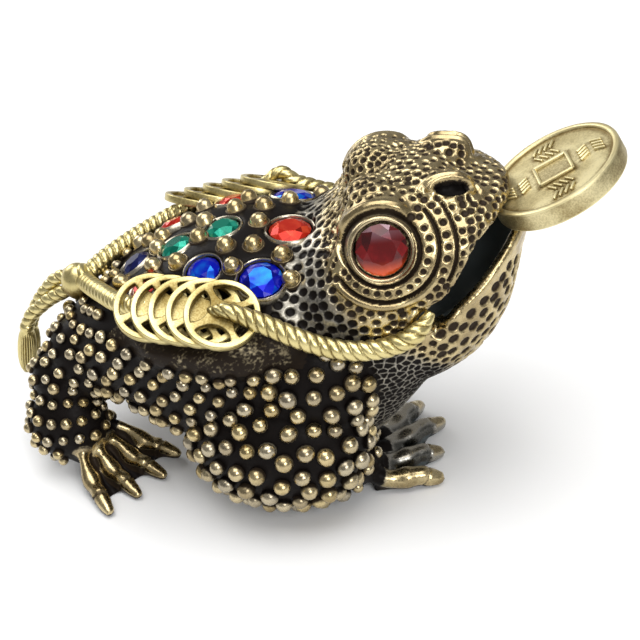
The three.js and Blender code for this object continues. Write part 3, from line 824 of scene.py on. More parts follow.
@dataclass
class Harness:
    """The pale casting: front ropes, coin strings, rear ropes, a knot and two tassels."""

    coin_diameter: float = 10.5
    coin_thickness: float = 1.1
    coin_rim: float = 0.9
    coin_pitch: float = 2.9
    coin_tilt: float = 22.0  # degrees
    coin_count: int = 5
    coin_bevel: float = 0.16
    knot_place: Triple = (-35.0, 0, 29.6)
    knot_diameter: float = 4.6
    tassel_length: float = 8.6
    tassel_diameter: float = 3.0
    tassel_ridges: int = 22
    seats: dict[int, list[CoinSeat]] = field(default_factory=dict)
    uprights: dict[int, Array] = field(default_factory=dict)

    def __post_init__(self) -> None:
        """Works out where the coins lie."""
        tilt = math.radians(self.coin_tilt)
        for side in SIDES:
            front = np.array([-8.9, side * 17.0, 35.8 + 0.3 * side])
            way = unit([10.4, side * 3.0, 1.2])
            upright = np.array([0, side * 0.47, 1.0])
            upright = unit(upright - way * (upright @ way))
            out = upright * math.cos(tilt) + way * math.sin(tilt)
            self.uprights[side] = upright
            places = [front - way * self.coin_pitch * i for i in range(self.coin_count)]
            self.seats[side] = [CoinSeat(place, out, way) for place in places]

    def front_route(self, side: int) -> Array:
        """Gives the places that a front rope runs through."""
        seat = self.seats[side][0]
        start = seat.place + seat.out * 0.38 * (self.coin_thickness + FRONT_ROPE.diameter)
        head = [
            (3.0, 17.5, 30.9), (7.6, 17.3, 30.0), (11.6, 17.0, 30.4),
            (14.4, 16.6, 31.6), (16.0, 15.2, 32.5), (16.8, 14.2, 33.6),
        ]
        return np.array(
            [
                start - seat.way * 1.9 - seat.out * 0.9,
                start + seat.way * 0.8,
                (-5.8, side * 17.7, 35.9),
                (-2.8, side * 17.9, 34.7),
                (1.2, side * 18.1, 32.9),
                *(from_head(mirrored(place, side)) for place in head),
            ]
        )

    def rear_route(self, side: int) -> Array:
        """Gives the places that a rear rope runs through."""
        last = self.seats[side][-1]
        return np.array(
            [
                self.knot_place,
                (-33, side * 3, 30.6),
                (-29.2, side * 7.4, 31.9),
                (-25.6, side * 10.9, 32.8),
                last.place - last.out * 0.2,
            ]
        )

    def tassel_routes(self) -> list[Array]:
        """Gives the places that the two tassels' ropes run through."""
        near = [
            (-35.6, 0.2, 28.9), (-38.9, 0.8, 26.6), (-41.1, 1, 25.3),
            (-43.3, 1, 23.6), (-45.0, 1, 22), (-46.1, 1, 20.0),
        ]
        far = [
            (-35.6, 1.0, 29.4), (-38.6, 2.4, 28.5), (-40.5, 2.6, 27.6),
            (-42.2, 2.6, 25.9), (-44.8, 2.6, 22.3), (-46.1, 2.6, 19.6),
        ]
        return [np.array(near), np.array(far)]

    def rooms(self, gap: float) -> list[Object]:
        """Makes what the harness takes away from the body.

        Args:
            gap: clearance round the ropes and coins, in mm.

        Returns:
            Closed solids to cut with.
        """
        made = []
        for side in SIDES:
            made.append(self._coin_room(side, gap))
            for route, kind in ((self.front_route, FRONT_ROPE), (self.rear_route, REAR_ROPE)):
                made.append(Bar(route(side), [kind.diameter / 2 + gap] * 2).build())
        return made

    def _coin_room(self, side: int, gap: float) -> Object:
        """Makes the flat-bottomed room of one string of coins."""
        reach = self.coin_diameter / 2 + gap
        length = self.coin_pitch * (self.coin_count - 1)
        turn = np.linspace(-math.pi / 2, math.pi / 2, 20)
        front = np.stack([reach * np.cos(turn), reach * np.sin(turn)], axis=1)
        outline = np.concatenate([front, -front - [length, 0]])
        drop = reach * math.sin(math.radians(self.coin_tilt)) + self.coin_thickness / 2 + gap
        rings = np.array([[(x, y, z) for x, y in outline] for z in (-drop, 3 * drop)])
        room = from_faces("coin_room", *skin(rings))
        seat = self.seats[side][0]
        room.data.transform(lay(seat.place, self.uprights[side], seat.way))
        return room

    def build(self, finish: bpy.types.Material) -> None:
        """Makes all its pieces and dresses them."""
        for side, word in SIDE_NAMES.items():
            pieces = [
                self._rope(f"front_rope_{word}", self.front_route(side), FRONT_ROPE, -side),
                self._rope(f"rear_rope_{word}", self.rear_route(side), REAR_ROPE, -side),
                joined(f"coin_string_{word}", [self._coin(seat) for seat in self.seats[side]]),
            ]
            for piece in pieces:
                self._settle(piece, finish)
        tails = []
        for number, route in enumerate(self.tassel_routes()):
            tails.append(self._rope(f"tail_{number}", route, TAIL_ROPE, 1))
            tails.append(self._tassel(route))
        self._settle(joined("tassels", tails), finish)
        self._settle(self._knot(), finish)

    def _settle(self, piece: Object, finish: bpy.types.Material) -> None:
        """Gives a piece its finish and its place."""
        into_row_frame(dressed(piece, finish), Slot.PALE_GOLD, "rope_and_coin_harness")

    def _rope(self, name: str, route: Array, kind: RopeKind, hand: int) -> Object:
        """Makes a twisted rope.

        Args:
            name: the piece's name.
            route: places that it runs through.
            kind: its sizes.
            hand: 1 or -1, the way it is twisted.

        Returns:
            The rope, brighter on its strands than between them.
        """
        path, at = along(route, 0.17)
        sides = 40
        crown = np.zeros((len(path), sides))

        def reach(i: int, angles: Array) -> Array:
            """Gives the radii round one step of the rope."""
            phase = kind.strands * (angles - hand * TAU * at[i] / kind.lay) / 2
            lobe = np.abs(np.cos(phase))
            crown[i] = lobe
            end = min(1.0, 0.5 + 0.5 * min(at[i] / kind.taper, (at[-1] - at[i]) / kind.tip))
            round_strand = 0.66 + 0.34 * np.sqrt(np.maximum(1 - (1 - lobe) ** 2, 0))
            return kind.diameter / 2 * end * round_strand

        rope = swept(name, path, reach, sides)
        write_value(rope, "wear", 1.05 * np.concatenate([crown.ravel(), [0.5, 0.5]]) ** 0.65 + 0.1)
        return smooth(rope)

    def _tassel(self, route: Array) -> Object:
        """Makes the ridged bulb at the end of a tail."""
        way = unit([-0.2, 0, -1.0])
        shares = np.array([-0.1, -0.03, 0.03, 0.07, 0.12, 0.2, 0.35, 0.5, 0.65, 0.8, 0.91, 1.0])
        sizes = np.array([0.4, 0.72, 0.76, 0.66, 0.74, 0.86, 0.97, 1.0, 0.96, 0.82, 0.64, 0.36])
        fine = np.linspace(-0.1, 1.0, 60)
        radii = np.interp(fine, shares, sizes) * (self.tassel_diameter / 2)
        path = route[-1] + way * (fine * self.tassel_length)[:, None]
        sides = 5 * self.tassel_ridges
        valley = np.zeros((len(fine), sides))

        def reach(i: int, angles: Array) -> Array:
            """Gives the radii round one step of the bulb."""
            ridge = np.abs(np.sin(self.tassel_ridges / 2 * angles + 1.2 * fine[i]))
            valley[i] = step(0.08, 0.2, fine[i : i + 1]) * (1 - ridge)
            return radii[i] * (1 - 0.22 * valley[i])

        bulb = swept("tassel", path, reach, sides)
        write_value(bulb, "wear", np.concatenate([0.85 - 0.8 * valley.ravel(), [0.5, 0.5]]))
        return smooth(bulb)

    def _coin(self, seat: CoinSeat) -> Object:
        """Makes one cash coin with its four openings, laid in its place."""
        outer, bevel = self.coin_diameter / 2, self.coin_bevel
        curve = bpy.data.curves.new("cash_coin", "CURVE")
        curve.dimensions, curve.fill_mode = "2D", "BOTH"
        curve.extrude = self.coin_thickness / 2 - bevel
        curve.bevel_depth, curve.bevel_resolution = bevel, 2
        turn = np.linspace(0, TAU, 72, endpoint=False)
        outlines = [np.stack([np.cos(turn), np.sin(turn)], axis=1) * (outer - bevel)]
        outlines += [self._opening(quarter * TAU / 4) for quarter in range(4)]
        for outline in outlines:
            spline = curve.splines.new("POLY")
            spline.points.add(len(outline) - 1)
            spline.use_cyclic_u = True
            flat = np.c_[outline, np.zeros(len(outline)), np.ones(len(outline))]
            spline.points.foreach_set("co", flat.ravel())
        coin = bpy.data.objects.new("cash_coin", curve)
        bpy.context.scene.collection.objects.link(coin)
        pick(coin)
        bpy.ops.object.convert(target="MESH")
        coin = bpy.context.object
        away = np.hypot(*points_of(coin)[:, :2].T)
        coin.data.transform(lay(seat.place, seat.out, seat.way))
        write_value(coin, "wear", 0.4 + 0.2 * step(outer - 1.0, outer - 0.4, away))
        return smooth(coin, 35)

    def _opening(self, turn: float) -> Array:
        """Outlines one lens-shaped opening of a cash coin."""
        half = math.radians(38)
        far = self.coin_diameter / 2 - self.coin_rim + self.coin_bevel
        near = self.coin_diameter / 2 * 0.36 - self.coin_bevel
        rise, drop = far * math.sin(half), far * math.cos(half) - near
        radius = (drop**2 + rise**2) / (2 * drop)
        bend = math.atan2(rise, drop - radius)
        out = np.linspace(-half, half, 16)
        back = np.linspace(bend, TAU - bend, 14)[1:-1]
        hollow = [near + radius + radius * np.cos(back), radius * np.sin(back)]
        rim = np.stack([far * np.cos(out), far * np.sin(out)], axis=1)
        outline = np.concatenate([rim, np.stack(hollow, axis=1)])
        c, s = math.cos(turn), math.sin(turn)
        return outline @ np.array([[c, s], [-s, c]])

    def _knot(self) -> Object:
        """Makes the knot: a smooth dome of metal with one loop of rope round it."""
        size = self.knot_diameter / 2
        turn = np.linspace(0, TAU, 60)
        wide = size - 0.35
        ring = np.stack([np.zeros(60), wide * np.cos(turn), wide * np.sin(turn)], axis=1)
        loop = swept("wrap", ring, lambda i, angles: np.full(len(angles), 0.7), 16, (1, 0, 0))
        turned = Matrix.Translation((0.9, 0, 0)) @ Matrix.Rotation(0.35, 4, "Z")
        loop.data.transform(turned @ Matrix.Rotation(-0.5, 4, "Y"))
        dome = Ball((-0.9, 0, -0.5), (size * 1.1, size * 1.06, size * 1.25))
        knot = joined("knot", [dome.build(), loop])
        knot.data.transform(Matrix.Translation(Vector(self.knot_place)))
        rise = points_of(knot)[:, 2] - self.knot_place[2]
        write_value(knot, "wear", 0.25 + 0.6 * step(-2.0, 1.0, rise))
        return smooth(knot)
# Stones and their collets


@dataclass(frozen=True)
class StoneSeat:
    """A stone's place, outward axis and size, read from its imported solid."""

    name: str
    slot: Slot
    place: Array
    axis: Array
    diameter: float
    wall: float

    @classmethod
    def of(cls, name: str, slot: Slot, wall: float = 0.42, shown: float = 1.0) -> "StoneSeat":
        """Reads where a packed stone sits.

        Args:
            name: the stone's node.
            slot: its material slot.
            wall: thickness of its collet, in mm.
            shown: share of its width that the collet leaves bare.

        Returns:
            The seat.
        """
        flat = points_of(frame["nodes"][name]) / MM - [TOAD_SHIFT, 0, 0]
        corners = np.unique(np.round(flat, 3), axis=0)
        place = corners.mean(0)
        axis = np.linalg.svd(corners - place)[2][2]
        reach = corners - place
        width = 2 * np.max(np.linalg.norm(reach - np.outer(reach @ axis, axis), axis=1))
        facing = [0.0, np.sign(place[1]), 0.2] if name.startswith("eye") else [0.0, 0.0, 1.0]
        outward = axis * np.sign(axis @ np.array(facing))
        return cls(name, slot, place, outward, width * shown, wall)


STONE_ROWS = {
    "centre": (Slot.RED, Slot.GREEN, Slot.GREEN, Slot.NIGHT_BLUE),
    "right": (Slot.BLUE, Slot.BLUE, Slot.RED),
    "left": (Slot.BLUE, Slot.RED, Slot.RED),
}


@dataclass
class Stones:
    """The two eyes and the ten stones of the back."""

    depth: float = 1.1
    crown: float = 1.0
    eye_wall: float = 0.75
    eye_shown: float = 0.94
    seats: list[StoneSeat] = field(default_factory=list)

    def __post_init__(self) -> None:
        """Reads the seats of all stones, the eyes first."""
        for word in SIDE_NAMES.values():
            name = f"eye_stone_{word}"
            self.seats.append(StoneSeat.of(name, Slot.EYE_RED, self.eye_wall, self.eye_shown))
        for row, slots in STONE_ROWS.items():
            for number, slot in enumerate(slots, 1):
                self.seats.append(StoneSeat.of(f"back_stone_{row}_{number}", slot))

    def build(self, finishes: dict[Slot, bpy.types.Material], brass: bpy.types.Material) -> None:
        """Makes the stones and their collets.

        Args:
            finishes: a finish for each stone's slot.
            brass: the finish of the collets.
        """
        rings = []
        for number, seat in enumerate(self.seats):
            stone = self._stone(seat, number)
            into_row_frame(dressed(stone, finishes[seat.slot]), seat.slot, seat.name)
            rings.append(self._collet(seat))
        collets = dressed(joined("collets", rings), brass)
        into_row_frame(smooth(collets, 50), Slot.DARK_BRASS, "toad_body")

    def _stone(self, seat: StoneSeat, number: int) -> Object:
        """Cuts one stone: a table, a ring of kites and two rings of small facets."""
        r = seat.diameter / 2
        eighth = np.arange(8) * TAU / 8
        sixteenth = np.arange(16) * TAU / 16

        def ring(angles: Array, radius: float, height: float) -> Array:
            """Gives a level ring of corners."""
            level = np.full(len(angles), height)
            return np.stack([radius * np.cos(angles), radius * np.sin(angles), level], axis=1)

        points = np.concatenate(
            [
                ring(eighth, 0.56 * r, self.crown),
                ring(eighth + TAU / 16, 0.8 * r, 0.66 * self.crown),
                ring(sixteenth, r, 0.18),
                ring(sixteenth, r, 0.0),
                ring(sixteenth, 0.7 * r, -self.depth),
            ]
        )
        faces: list = [list(range(8))]
        for i in range(8):
            after, before = (i + 1) % 8, 8 + (i - 1) % 8
            start, middle, end = 16 + 2 * i, 17 + 2 * i, 16 + (2 * i + 2) % 16
            faces += [[i, 8 + i, after], [i, before, start, 8 + i]]
            faces += [[8 + i, start, middle], [8 + i, middle, end]]
        for i in range(16):
            after = (i + 1) % 16
            faces.append([16 + i, 32 + i, 32 + after, 16 + after])
            faces.append([32 + i, 48 + i, 48 + after, 32 + after])
        faces.append(list(range(63, 47, -1)))
        stone = from_faces(f"{seat.name}_cut", points, faces)
        bm = bmesh.new()
        bm.from_mesh(stone.data)
        bmesh.ops.recalc_face_normals(bm, faces=bm.faces)
        bm.to_mesh(stone.data)
        bm.free()
        # Each facet gets a brightness drawn at random, which the glass paints from shade to glint.
        chance = np.random.default_rng(40 + number)
        layer = stone.data.attributes.new("facet", "FLOAT", "FACE")
        bright = chance.uniform(0, 1, len(stone.data.polygons))
        layer.data.foreach_set("value", bright.astype(np.float32))
        stone.data.transform(stand(seat.place, seat.axis, 0.2 + number))
        return stone

    def _collet(self, seat: StoneSeat) -> Object:
        """Turns the ring that holds one stone."""
        outer = seat.diameter / 2 + 0.3 + seat.wall
        inner = outer - 0.1
        shape = [
            (outer + 0.35, -1.3, 0.0), (outer + 0.12, -0.1, 0.45), (outer, 0.22, 0.8),
            (outer - 0.12, 0.42, 0.95), (inner - 0.3 * seat.wall, 0.52, 1.0),
            (inner - 0.62 * seat.wall, 0.44, 0.9), (inner - 0.8 * seat.wall, 0.2, 0.55),
            (inner + 0.04 - seat.wall, -0.3, 0.05), (inner - seat.wall, -1.2, 0.0),
        ]
        sides = 56
        ring = lathed("collet", [(radius, height) for radius, height, _ in shape], sides)
        worn = np.repeat([wear for _, _, wear in shape], sides)
        write_value(ring, "wear", np.concatenate([worn, [0, 0]]))
        tone = 0.25 if seat.wall > 0.6 else 0.7
        write_value(ring, "tone", np.full(len(ring.data.vertices), tone))
        ring.data.transform(stand(seat.place, seat.axis))
        return ring


# Coin between the lips


@dataclass
class MouthCoin:
    """The round coin: a raised rim, a framed square and rows of plain slanted strokes."""

    diameter: float = 19.6
    thickness: float = 3.0
    slope: float = 25.0  # degrees
    rim: float = 0.95
    relief: float = 0.4
    square: float = 4.4
    frame_width: float = 0.5
    stroke_width: float = 0.38
    spin: float = 10.0  # degrees
    bite: Triple = (25.3, 0, 42.4)

    def matrix(self) -> Matrix:
        """Gives the matrix that puts the coin between the lips."""
        place = Matrix.Translation(Vector(from_head(self.bite)))
        turn = Matrix.Rotation(HEAD_TURN, 4, "Z")
        lean = turn @ Matrix.Rotation(-math.radians(self.slope), 4, "Y")
        return place @ lean @ Matrix.Translation((self.diameter / 2, 0, -self.thickness / 2))

    def room(self, gap: float) -> Object:
        """Makes the space that the coin takes up, with a gap round it."""
        radius, depth = self.diameter / 2 + gap, self.thickness + 2 * gap
        add = bpy.ops.mesh.primitive_cylinder_add
        return primitive(add, self.matrix(), vertices=64, radius=radius, depth=depth)

    def build(self, finish: bpy.types.Material) -> None:
        """Makes the coin and dresses it."""
        parts = [self._disc()]
        side = self.square / 2 + self.frame_width / 2
        for quarter in range(4):
            parts.append(self._ridge((side, -side), (side, side), self.frame_width, quarter, 0.1))
            parts += self._strokes(quarter)
        coin = joined("mouth_coin_struck", parts)
        write_value(coin, "wear", self._wear_and_shade(points_of(coin)))
        coin.data.transform(Matrix.Rotation(math.radians(self.spin), 4, "Z"))
        coin.data.transform(self.matrix())
        into_row_frame(smooth(dressed(coin, finish), 40), Slot.PALE_GOLD, "mouth_coin")

    def _wear_and_shade(self, points: Array) -> Array:
        """Says how rubbed the coin is, with painted shade: bright on its relief, brown patina
        beside it, painted shade inside the rim and on the side, darker inside the square.
        """
        top = points[:, 2] > 0
        away, height = np.hypot(*points[:, :2].T), np.abs(points[:, 2])
        across = np.abs(points[:, :2]).max(1)
        edge = self.diameter / 2 - self.rim
        raised = points[(points[:, 2] > self.thickness / 2 - 0.15) & (away < edge - 0.3)]
        frame = np.abs(across - self.square / 2 - self.frame_width / 2) - self.frame_width / 2
        beside = np.minimum(way_to(raised, points), np.where(top, frame, 9.0))
        floor = height < self.thickness / 2 - 0.2
        # Brown patina beside the raised relief, and a painted shade line along the inside of the
        # rim.
        patina_and_shade = 0.3 * (1 - step(0.1, 0.75, beside)) + 0.3 * step(edge - 1.1, edge - 0.1, away)
        wear = 0.62 + 0.44 * step(1.12, 1.4, height) - floor * patina_and_shade
        wear[(across < self.square / 2) & top] = 0.36
        # The coin's side is a little darker: painted shade.
        wear[(away > edge + self.rim - 0.1) & floor] = 0.5
        return wear

    def _disc(self) -> Object:
        """Turns the coin's body with rounded rims on both faces."""
        r, h = self.diameter / 2, self.thickness / 2
        low = h - self.relief
        inner = r - self.rim
        half = [
            *((x, low) for x in np.linspace(0.02, inner - 0.4, 20)),
            (inner - 0.2, low), (inner - 0.04, low + 0.03), (inner + 0.02, low + 0.12),
            (inner + 0.08, h - 0.1), (inner + 0.2, h),
            (r - 0.34, h), (r - 0.1, h - 0.08), (r, h - 0.34),
        ]
        profile = [(x, -z) for x, z in half] + [(r, -0.3), (r, 0.3)] + half[::-1]
        return lathed("disc", profile, 128)

    def _ridge(
        self, start: tuple, end: tuple, width: float, quarter: int, extra: float = 0.0
    ) -> Object:
        """Makes one straight ridge with soft edges on the upper face.

        Args:
            start: the place where it starts.
            end: the place where it ends.
            width: its width.
            quarter: quarter turns that it is then turned by.
            extra: height that it gets over the strokes.

        Returns:
            The ridge.
        """
        start, end = np.array(start), np.array(end)
        run = end - start
        middle = (start + end) / 2
        low = self.thickness / 2 - self.relief - 0.2
        high = self.thickness / 2 - 0.06 + extra
        bar = primitive(
            bpy.ops.mesh.primitive_cube_add,
            size=1,
            location=(middle[0], middle[1], (low + high) / 2),
            scale=(np.linalg.norm(run) + width, width, high - low),
            rotation=(0, 0, math.atan2(run[1], run[0])),
        )
        finished_with(bar, "BEVEL", width=0.16, segments=3)
        bar.data.transform(Matrix.Rotation(quarter * TAU / 4, 4, "Z"))
        return bar

    def _strokes(self, quarter: int) -> list[Object]:
        """Makes two rows of short slanted strokes beside one side of the square."""
        inner = self.square / 2 + self.frame_width
        reach = self.diameter / 2 - self.rim - inner
        made = []
        for row, lean in ((0.3, 0.35), (0.66, -0.35)):
            for place in (-1.25, -0.4, 0.45, 1.3):
                x = inner + reach * row
                start, end = (x - 0.6, place - lean), (x + 0.6, place + lean)
                made.append(self._ridge(start, end, self.stroke_width, quarter))
        return made


# The cast skin


def head_axes(lean: Sequence[float]) -> tuple[Array, Array, Array]:
    """Gives an axis of the turned head, and the forward and upward directions across it."""
    axis = turned_z(unit(lean), HEAD_TURN)
    ahead = turned_z(np.array([1.0, 0, 0]), HEAD_TURN)
    forward = unit(ahead - axis * (ahead @ axis))
    up = np.cross(axis, forward)
    return axis, forward, up * np.sign(up[2])


@dataclass(frozen=True)
class EyeFrame:
    """Polar measure round one eye: distance from its axis and angle, 0 to the front and 90 up."""

    centre: Array
    axis: Array
    forward: Array
    up: Array

    @classmethod
    def of(cls, side: int) -> "EyeFrame":
        """Places the frame on the eye of one side."""
        return cls(from_head([10.95, side * 12.5, 42.8]), *head_axes([0.08, side * 0.92, 0.38]))

    def polar(self, points: Array) -> tuple[Array, Array, Array]:
        """Measures distance from the axis, angle in degrees, and height along the axis.

        The outer folds lie round a point a little ahead of and above the stone.
        """
        away = points - self.centre
        x, y = away @ self.forward, away @ self.up
        outer = step(4.6, 7.0, np.hypot(x, y))
        x, y = x - 0.3 * outer, y - 0.25 * outer
        return np.hypot(x, y), np.degrees(np.arctan2(y, x)), away @ self.axis

    def on_mound(self, rise: Array, normals: Array) -> Array:
        """Tells which points lie on the eye's mound, by their height and the skin's directions."""
        return (rise > -7.5) & (normals @ self.axis > 0.05)


def between(angle: Array, low: float, high: float, soft: float = 7.0) -> Array:
    """Is 1 for angles between low and high, with soft ends; angles run from -180 to 180."""
    middle, half = (low + high) / 2, (high - low) / 2
    off = np.abs((angle - middle + 180) % 360 - 180)
    return 1 - step(half - soft, half, off)


def flattened(points: Array) -> Array:
    """Stretches places upwards below the eyes, so that what is round there becomes wide."""
    places = np.array(points, float)
    places[:, 2] += 0.12 * np.minimum(places[:, 2] - 40, 0)
    return places


@dataclass
class PitField:
    """Pits in the skin, each with its own radius."""

    centres: Array
    radii: Array
    tree: KDTree = field(init=False)

    def __post_init__(self) -> None:
        """Makes the search tree."""
        self.tree = tree_of(flattened(self.centres))

    def hollow(self, points: Array) -> tuple[Array, Array]:
        """Tells how deep in a pit points lie, for round pits and for cells with thin walls.

        Args:
            points: places on the skin.

        Returns:
            For each kind, 0 between pits and 1 in a pit's middle.
        """
        number, reach = nearest(self.tree, flattened(points), 2)
        share = (reach / self.radii[number]).min(1)
        wall = (reach[:, 1] - reach[:, 0]) / 2
        return 1 - step(0.55, 1.12, share), step(0.04, 0.19, wall)


def scattered_places(points: Array, pitch: Array, seed: int, rounds: int = 3) -> Array:
    """Spreads places over a surface so that neighbours lie about a pitch apart.

    Args:
        points: points of the surface that may be taken.
        pitch: wanted way between neighbours at each point.
        seed: seed of the order in which points are tried.
        rounds: how often the places are evened out.

    Returns:
        Numbers of the taken points.
    """
    order = np.random.default_rng(seed).permutation(len(points))
    cell = float(pitch.max())
    grid: dict[tuple[int, int, int], list[int]] = {}
    keys = np.floor(points / cell).astype(int)
    taken: list[int] = []
    offsets = [(i, j, k) for i in (-1, 0, 1) for j in (-1, 0, 1) for k in (-1, 0, 1)]
    for i in order:
        x, y, z = keys[i]
        near = [n for a, b, c in offsets for n in grid.get((x + a, y + b, z + c), ())]
        if near:
            gap = np.linalg.norm(points[near] - points[i], axis=1)
            if (gap < 0.42 * (pitch[near] + pitch[i])).any():
                continue
        taken.append(i)
        grid.setdefault((x, y, z), []).append(i)
    surface = tree_of(points)
    places = points[taken]
    for _ in range(rounds):
        owner = nearest(tree_of(places), points, 1)[0][:, 0]
        count = np.maximum(np.bincount(owner, minlength=len(places)), 1)
        sums = [np.bincount(owner, points[:, k], len(places)) for k in range(3)]
        middles = np.stack(sums, axis=1) / count[:, None]
        places = np.array([surface.find(place)[0] for place in middles])
    return np.array([surface.find(place)[1] for place in places])


# Middle lines of the lips' rims, and the radii of the grooves round an eye, in mm
LIP_LOW = [
    (17.8, 14, 29.6), (19.9, 13, 31.6), (22.8, 12, 34.5), (25.7, 10, 36.7),
    (27.8, 8, 38.0), (29.6, 5, 39.7), (30.7, 1.5, 40.9),
]
LIP_HIGH = [
    (19.5, 15, 36.7), (21.3, 14, 39.1), (22.5, 13, 41.3), (23.7, 11.5, 43.0),
    (25.4, 10, 44.3), (26.5, 8, 44.3), (27.6, 6, 44.0), (28.3, 2, 44.3),
]
INNER_GROOVE, LOWER_GROOVE, FRONT_GROOVE = 4.98, 7.35, 9.65
NOWHERE = 99.0  # a distance that stands for far away


@dataclass
class Skin:
    """Relief and wear of the casting, as fields that any mesh of it can read."""

    harness: Harness
    stones: Stones
    eyes: list[EyeFrame] = field(default_factory=lambda: [EyeFrame.of(side) for side in SIDES])
    pits: PitField | None = None

    def in_mouth(self, points: Array) -> Array:
        """Tells which points lie inside the mouth."""
        own = to_head(points)
        slit = (MOUTH_SLIT.level(own) < 1.06) & (own[:, 0] < 20.9)
        return (MOUTH_HOLLOW.level(own) < 1.1) | slit

    def headness(self, points: Array) -> Array:
        """Is 1 on the head and 0 behind it."""
        own = to_head(points)
        head = step(9.0, 12.5, 0.9 * own[:, 0] + 0.22 * own[:, 2] - 0.02 * np.abs(own[:, 1]))
        return head * step(22.5, 26.5, own[:, 2] + 0.9 * (own[:, 0] - 16))

    def netness(self, points: Array) -> Array:
        """Is 1 where the neck's and chest's net of pits lies."""
        x, y, z = points.T
        net = step(-1.0, 0.6, x - 0.05 * (z - 36) + 2.4 * step(30.5, 33.0, z))
        for arm in ARMS:
            lower = way_to(along(arm.forearm(), 0.5)[0], points)
            above = np.maximum(step(4.6, 5.6, lower), step(9.0, 11.0, z))
            net *= step(1.1, 1.3, mass_level(arm.masses(), points)) * above
        return net * (z > 3.0)

    def foot(self, points: Array) -> Array:
        """Is 1 on hands and feet."""
        row, reach, ahead = self._toe_rows(points)
        low = points[:, 2] < row[:, 7] + 1.4
        return step(0.0, 1.2, ahead) * (1 - step(2.8, 3.4, reach)) * low

    def toes(self, points: Array) -> tuple[Array, Array, Array, Array, Array]:
        """Measures points against the toes' middle lines.

        Args:
            points: places on the skin.

        Returns:
            Distance in toe thicknesses, share of the way to the tip, height over the line,
            whether the toe is steel grey, and the height at which its rubbed part begins.
        """
        row, reach, _ = self._toe_rows(points)
        return reach, row[:, 3], (points[:, 2] - row[:, 2]) / row[:, 4], row[:, 5], row[:, 6]

    def _toe_rows(self, points: Array) -> tuple[Array, Array, Array]:
        """Finds the nearest place on a toe's middle line.

        Args:
            points: places on the skin.

        Returns:
            For each point a row with that place, the share of the way to the tip, thickness,
            whether the toe is dull, where its gold begins, the instep's height, the wrist and
            the direction ahead; then the distance in thicknesses, and how far ahead of the
            wrist's line the point lies.
        """
        lines = []
        for foot in FEET:
            wrist, ahead = foot.roots().mean(0)[:2], foot.ahead()[:2]
            for number, route in enumerate(foot.routes()):
                path, at = along(route, 0.25)
                dull = number > 3 - foot.dull_toes
                bare = -0.6 if dull else foot.worn_from
                same = [foot.thickness, dull, bare, foot.instep, *wrist, *ahead]
                lines.append(np.c_[path, at / at[-1], np.tile(same, (len(at), 1))])
        rows = np.concatenate(lines)
        number, reach = nearest(tree_of(rows[:, :3]), points, 1)
        row = rows[number[:, 0]]
        ahead = ((points[:, :2] - row[:, 8:10]) * row[:, 10:12]).sum(1)
        return row, reach[:, 0] / row[:, 4], ahead

    def lips(self, points: Array) -> tuple[Array, Array]:
        """Tells how near points lie to the rims of the lower and the upper lip."""
        mouth = self.in_mouth(points)
        reach = way_to(points[mouth], points) if mouth.any() else np.full(len(points), NOWHERE)
        own = to_head(points)
        own[:, 1] = np.abs(own[:, 1])
        low, high = (way_to(along(line, 0.4)[0], own) for line in (LIP_LOW, LIP_HIGH))
        return np.where(low <= high, reach, NOWHERE), np.where(low <= high, NOWHERE, reach)

    def eye_relief(self, points: Array, normals: Array) -> tuple[Array, Array, Array]:
        """Shapes the folds and grooves round both eyes.

        Args:
            points: places on the skin.
            normals: the skin's directions there.

        Returns:
            Height in mm, how rubbed it is, and how much of the free pits is left.
        """
        height, worn, free = np.zeros(len(points)), np.zeros(len(points)), np.ones(len(points))
        black = np.zeros(len(points))
        for eye in self.eyes:
            rho, phi, rise = eye.polar(points)
            here = eye.on_mound(rise, normals) & (rho < 12.5)
            lid = between(phi, 38, 218, 32) * here * step(-4.8, -3.6, rise)
            low = between(phi, -150, 44) * here
            front = between(phi, -34, 36, 5) * here
            rim = between(phi, -150, -22, 14) * here
            shallow = 1 - 0.5 * between(phi, 50, 140, 30)
            height += here * -1.0 * band(rho, INNER_GROOVE, 0.42) * shallow
            height += low * (-0.85 * band(rho, LOWER_GROOVE, 0.36) + 0.12 * band(rho, 6.15, 1.4))
            height += rim * 0.3 * band(rho, 8.05, 0.7)
            height += front * -0.8 * band(rho, FRONT_GROOVE, 0.34)
            height += lid * (0.5 * band(rho, 6.75, 2.0) + 0.3 * band(rho, 5.7, 0.45))
            worn = np.maximum(worn, lid * band(rho, 5.65, 0.5))
            worn = np.maximum(worn, rim * band(rho, 8.0, 0.65))
            grooves = [
                here * band(rho, INNER_GROOVE, 0.5),
                low * band(rho, LOWER_GROOVE, 0.42),
                front * band(rho, FRONT_GROOVE, 0.4),
            ]
            black = np.maximum(black, np.maximum.reduce(grooves))
            kept = [here * (rho < 5.2), low * (rho < 7.65), front * (rho < 11.3)]
            kept += [lid * (rho < 8.6), rim * (rho < 8.6)]
            free *= 1 - (np.maximum.reduce(kept) > 0.3)
        return height, np.where(black > 0.3, -black, worn), free

    def nostril_relief(self, points: Array) -> tuple[Array, Array, Array]:
        """Shapes the arched rims over the nostrils, with height, wear and room for pits."""
        height, worn, free = np.zeros(len(points)), np.zeros(len(points)), np.ones(len(points))
        for side in SIDES:
            axis, forward, up = head_axes([0.2, side * 0.72, 0.66])
            away = points - from_head([20.6, side * 6.6, 48.0])
            x, y = away @ forward, away @ up
            near = np.abs(away @ axis) < 4
            ring = np.hypot(x / 3.1, (y + 0.35) / 1.75)
            over = near * step(-0.6, 0.0, y)
            arch, brow = over * band(ring, 1.0, 0.17), over * band(ring, 1.4, 0.17)
            hole = near * (1 - step(0.75, 1.05, np.hypot(x / 2.65, (y - 0.15) / 0.95)))
            height += 0.5 * arch + 0.35 * brow - 0.9 * hole
            worn = worn + np.maximum(1.2 * arch, 0.7 * brow) - 3 * hole
            free *= 1 - near * (ring < 1.7) * (y > -0.8)
        return height, worn, free

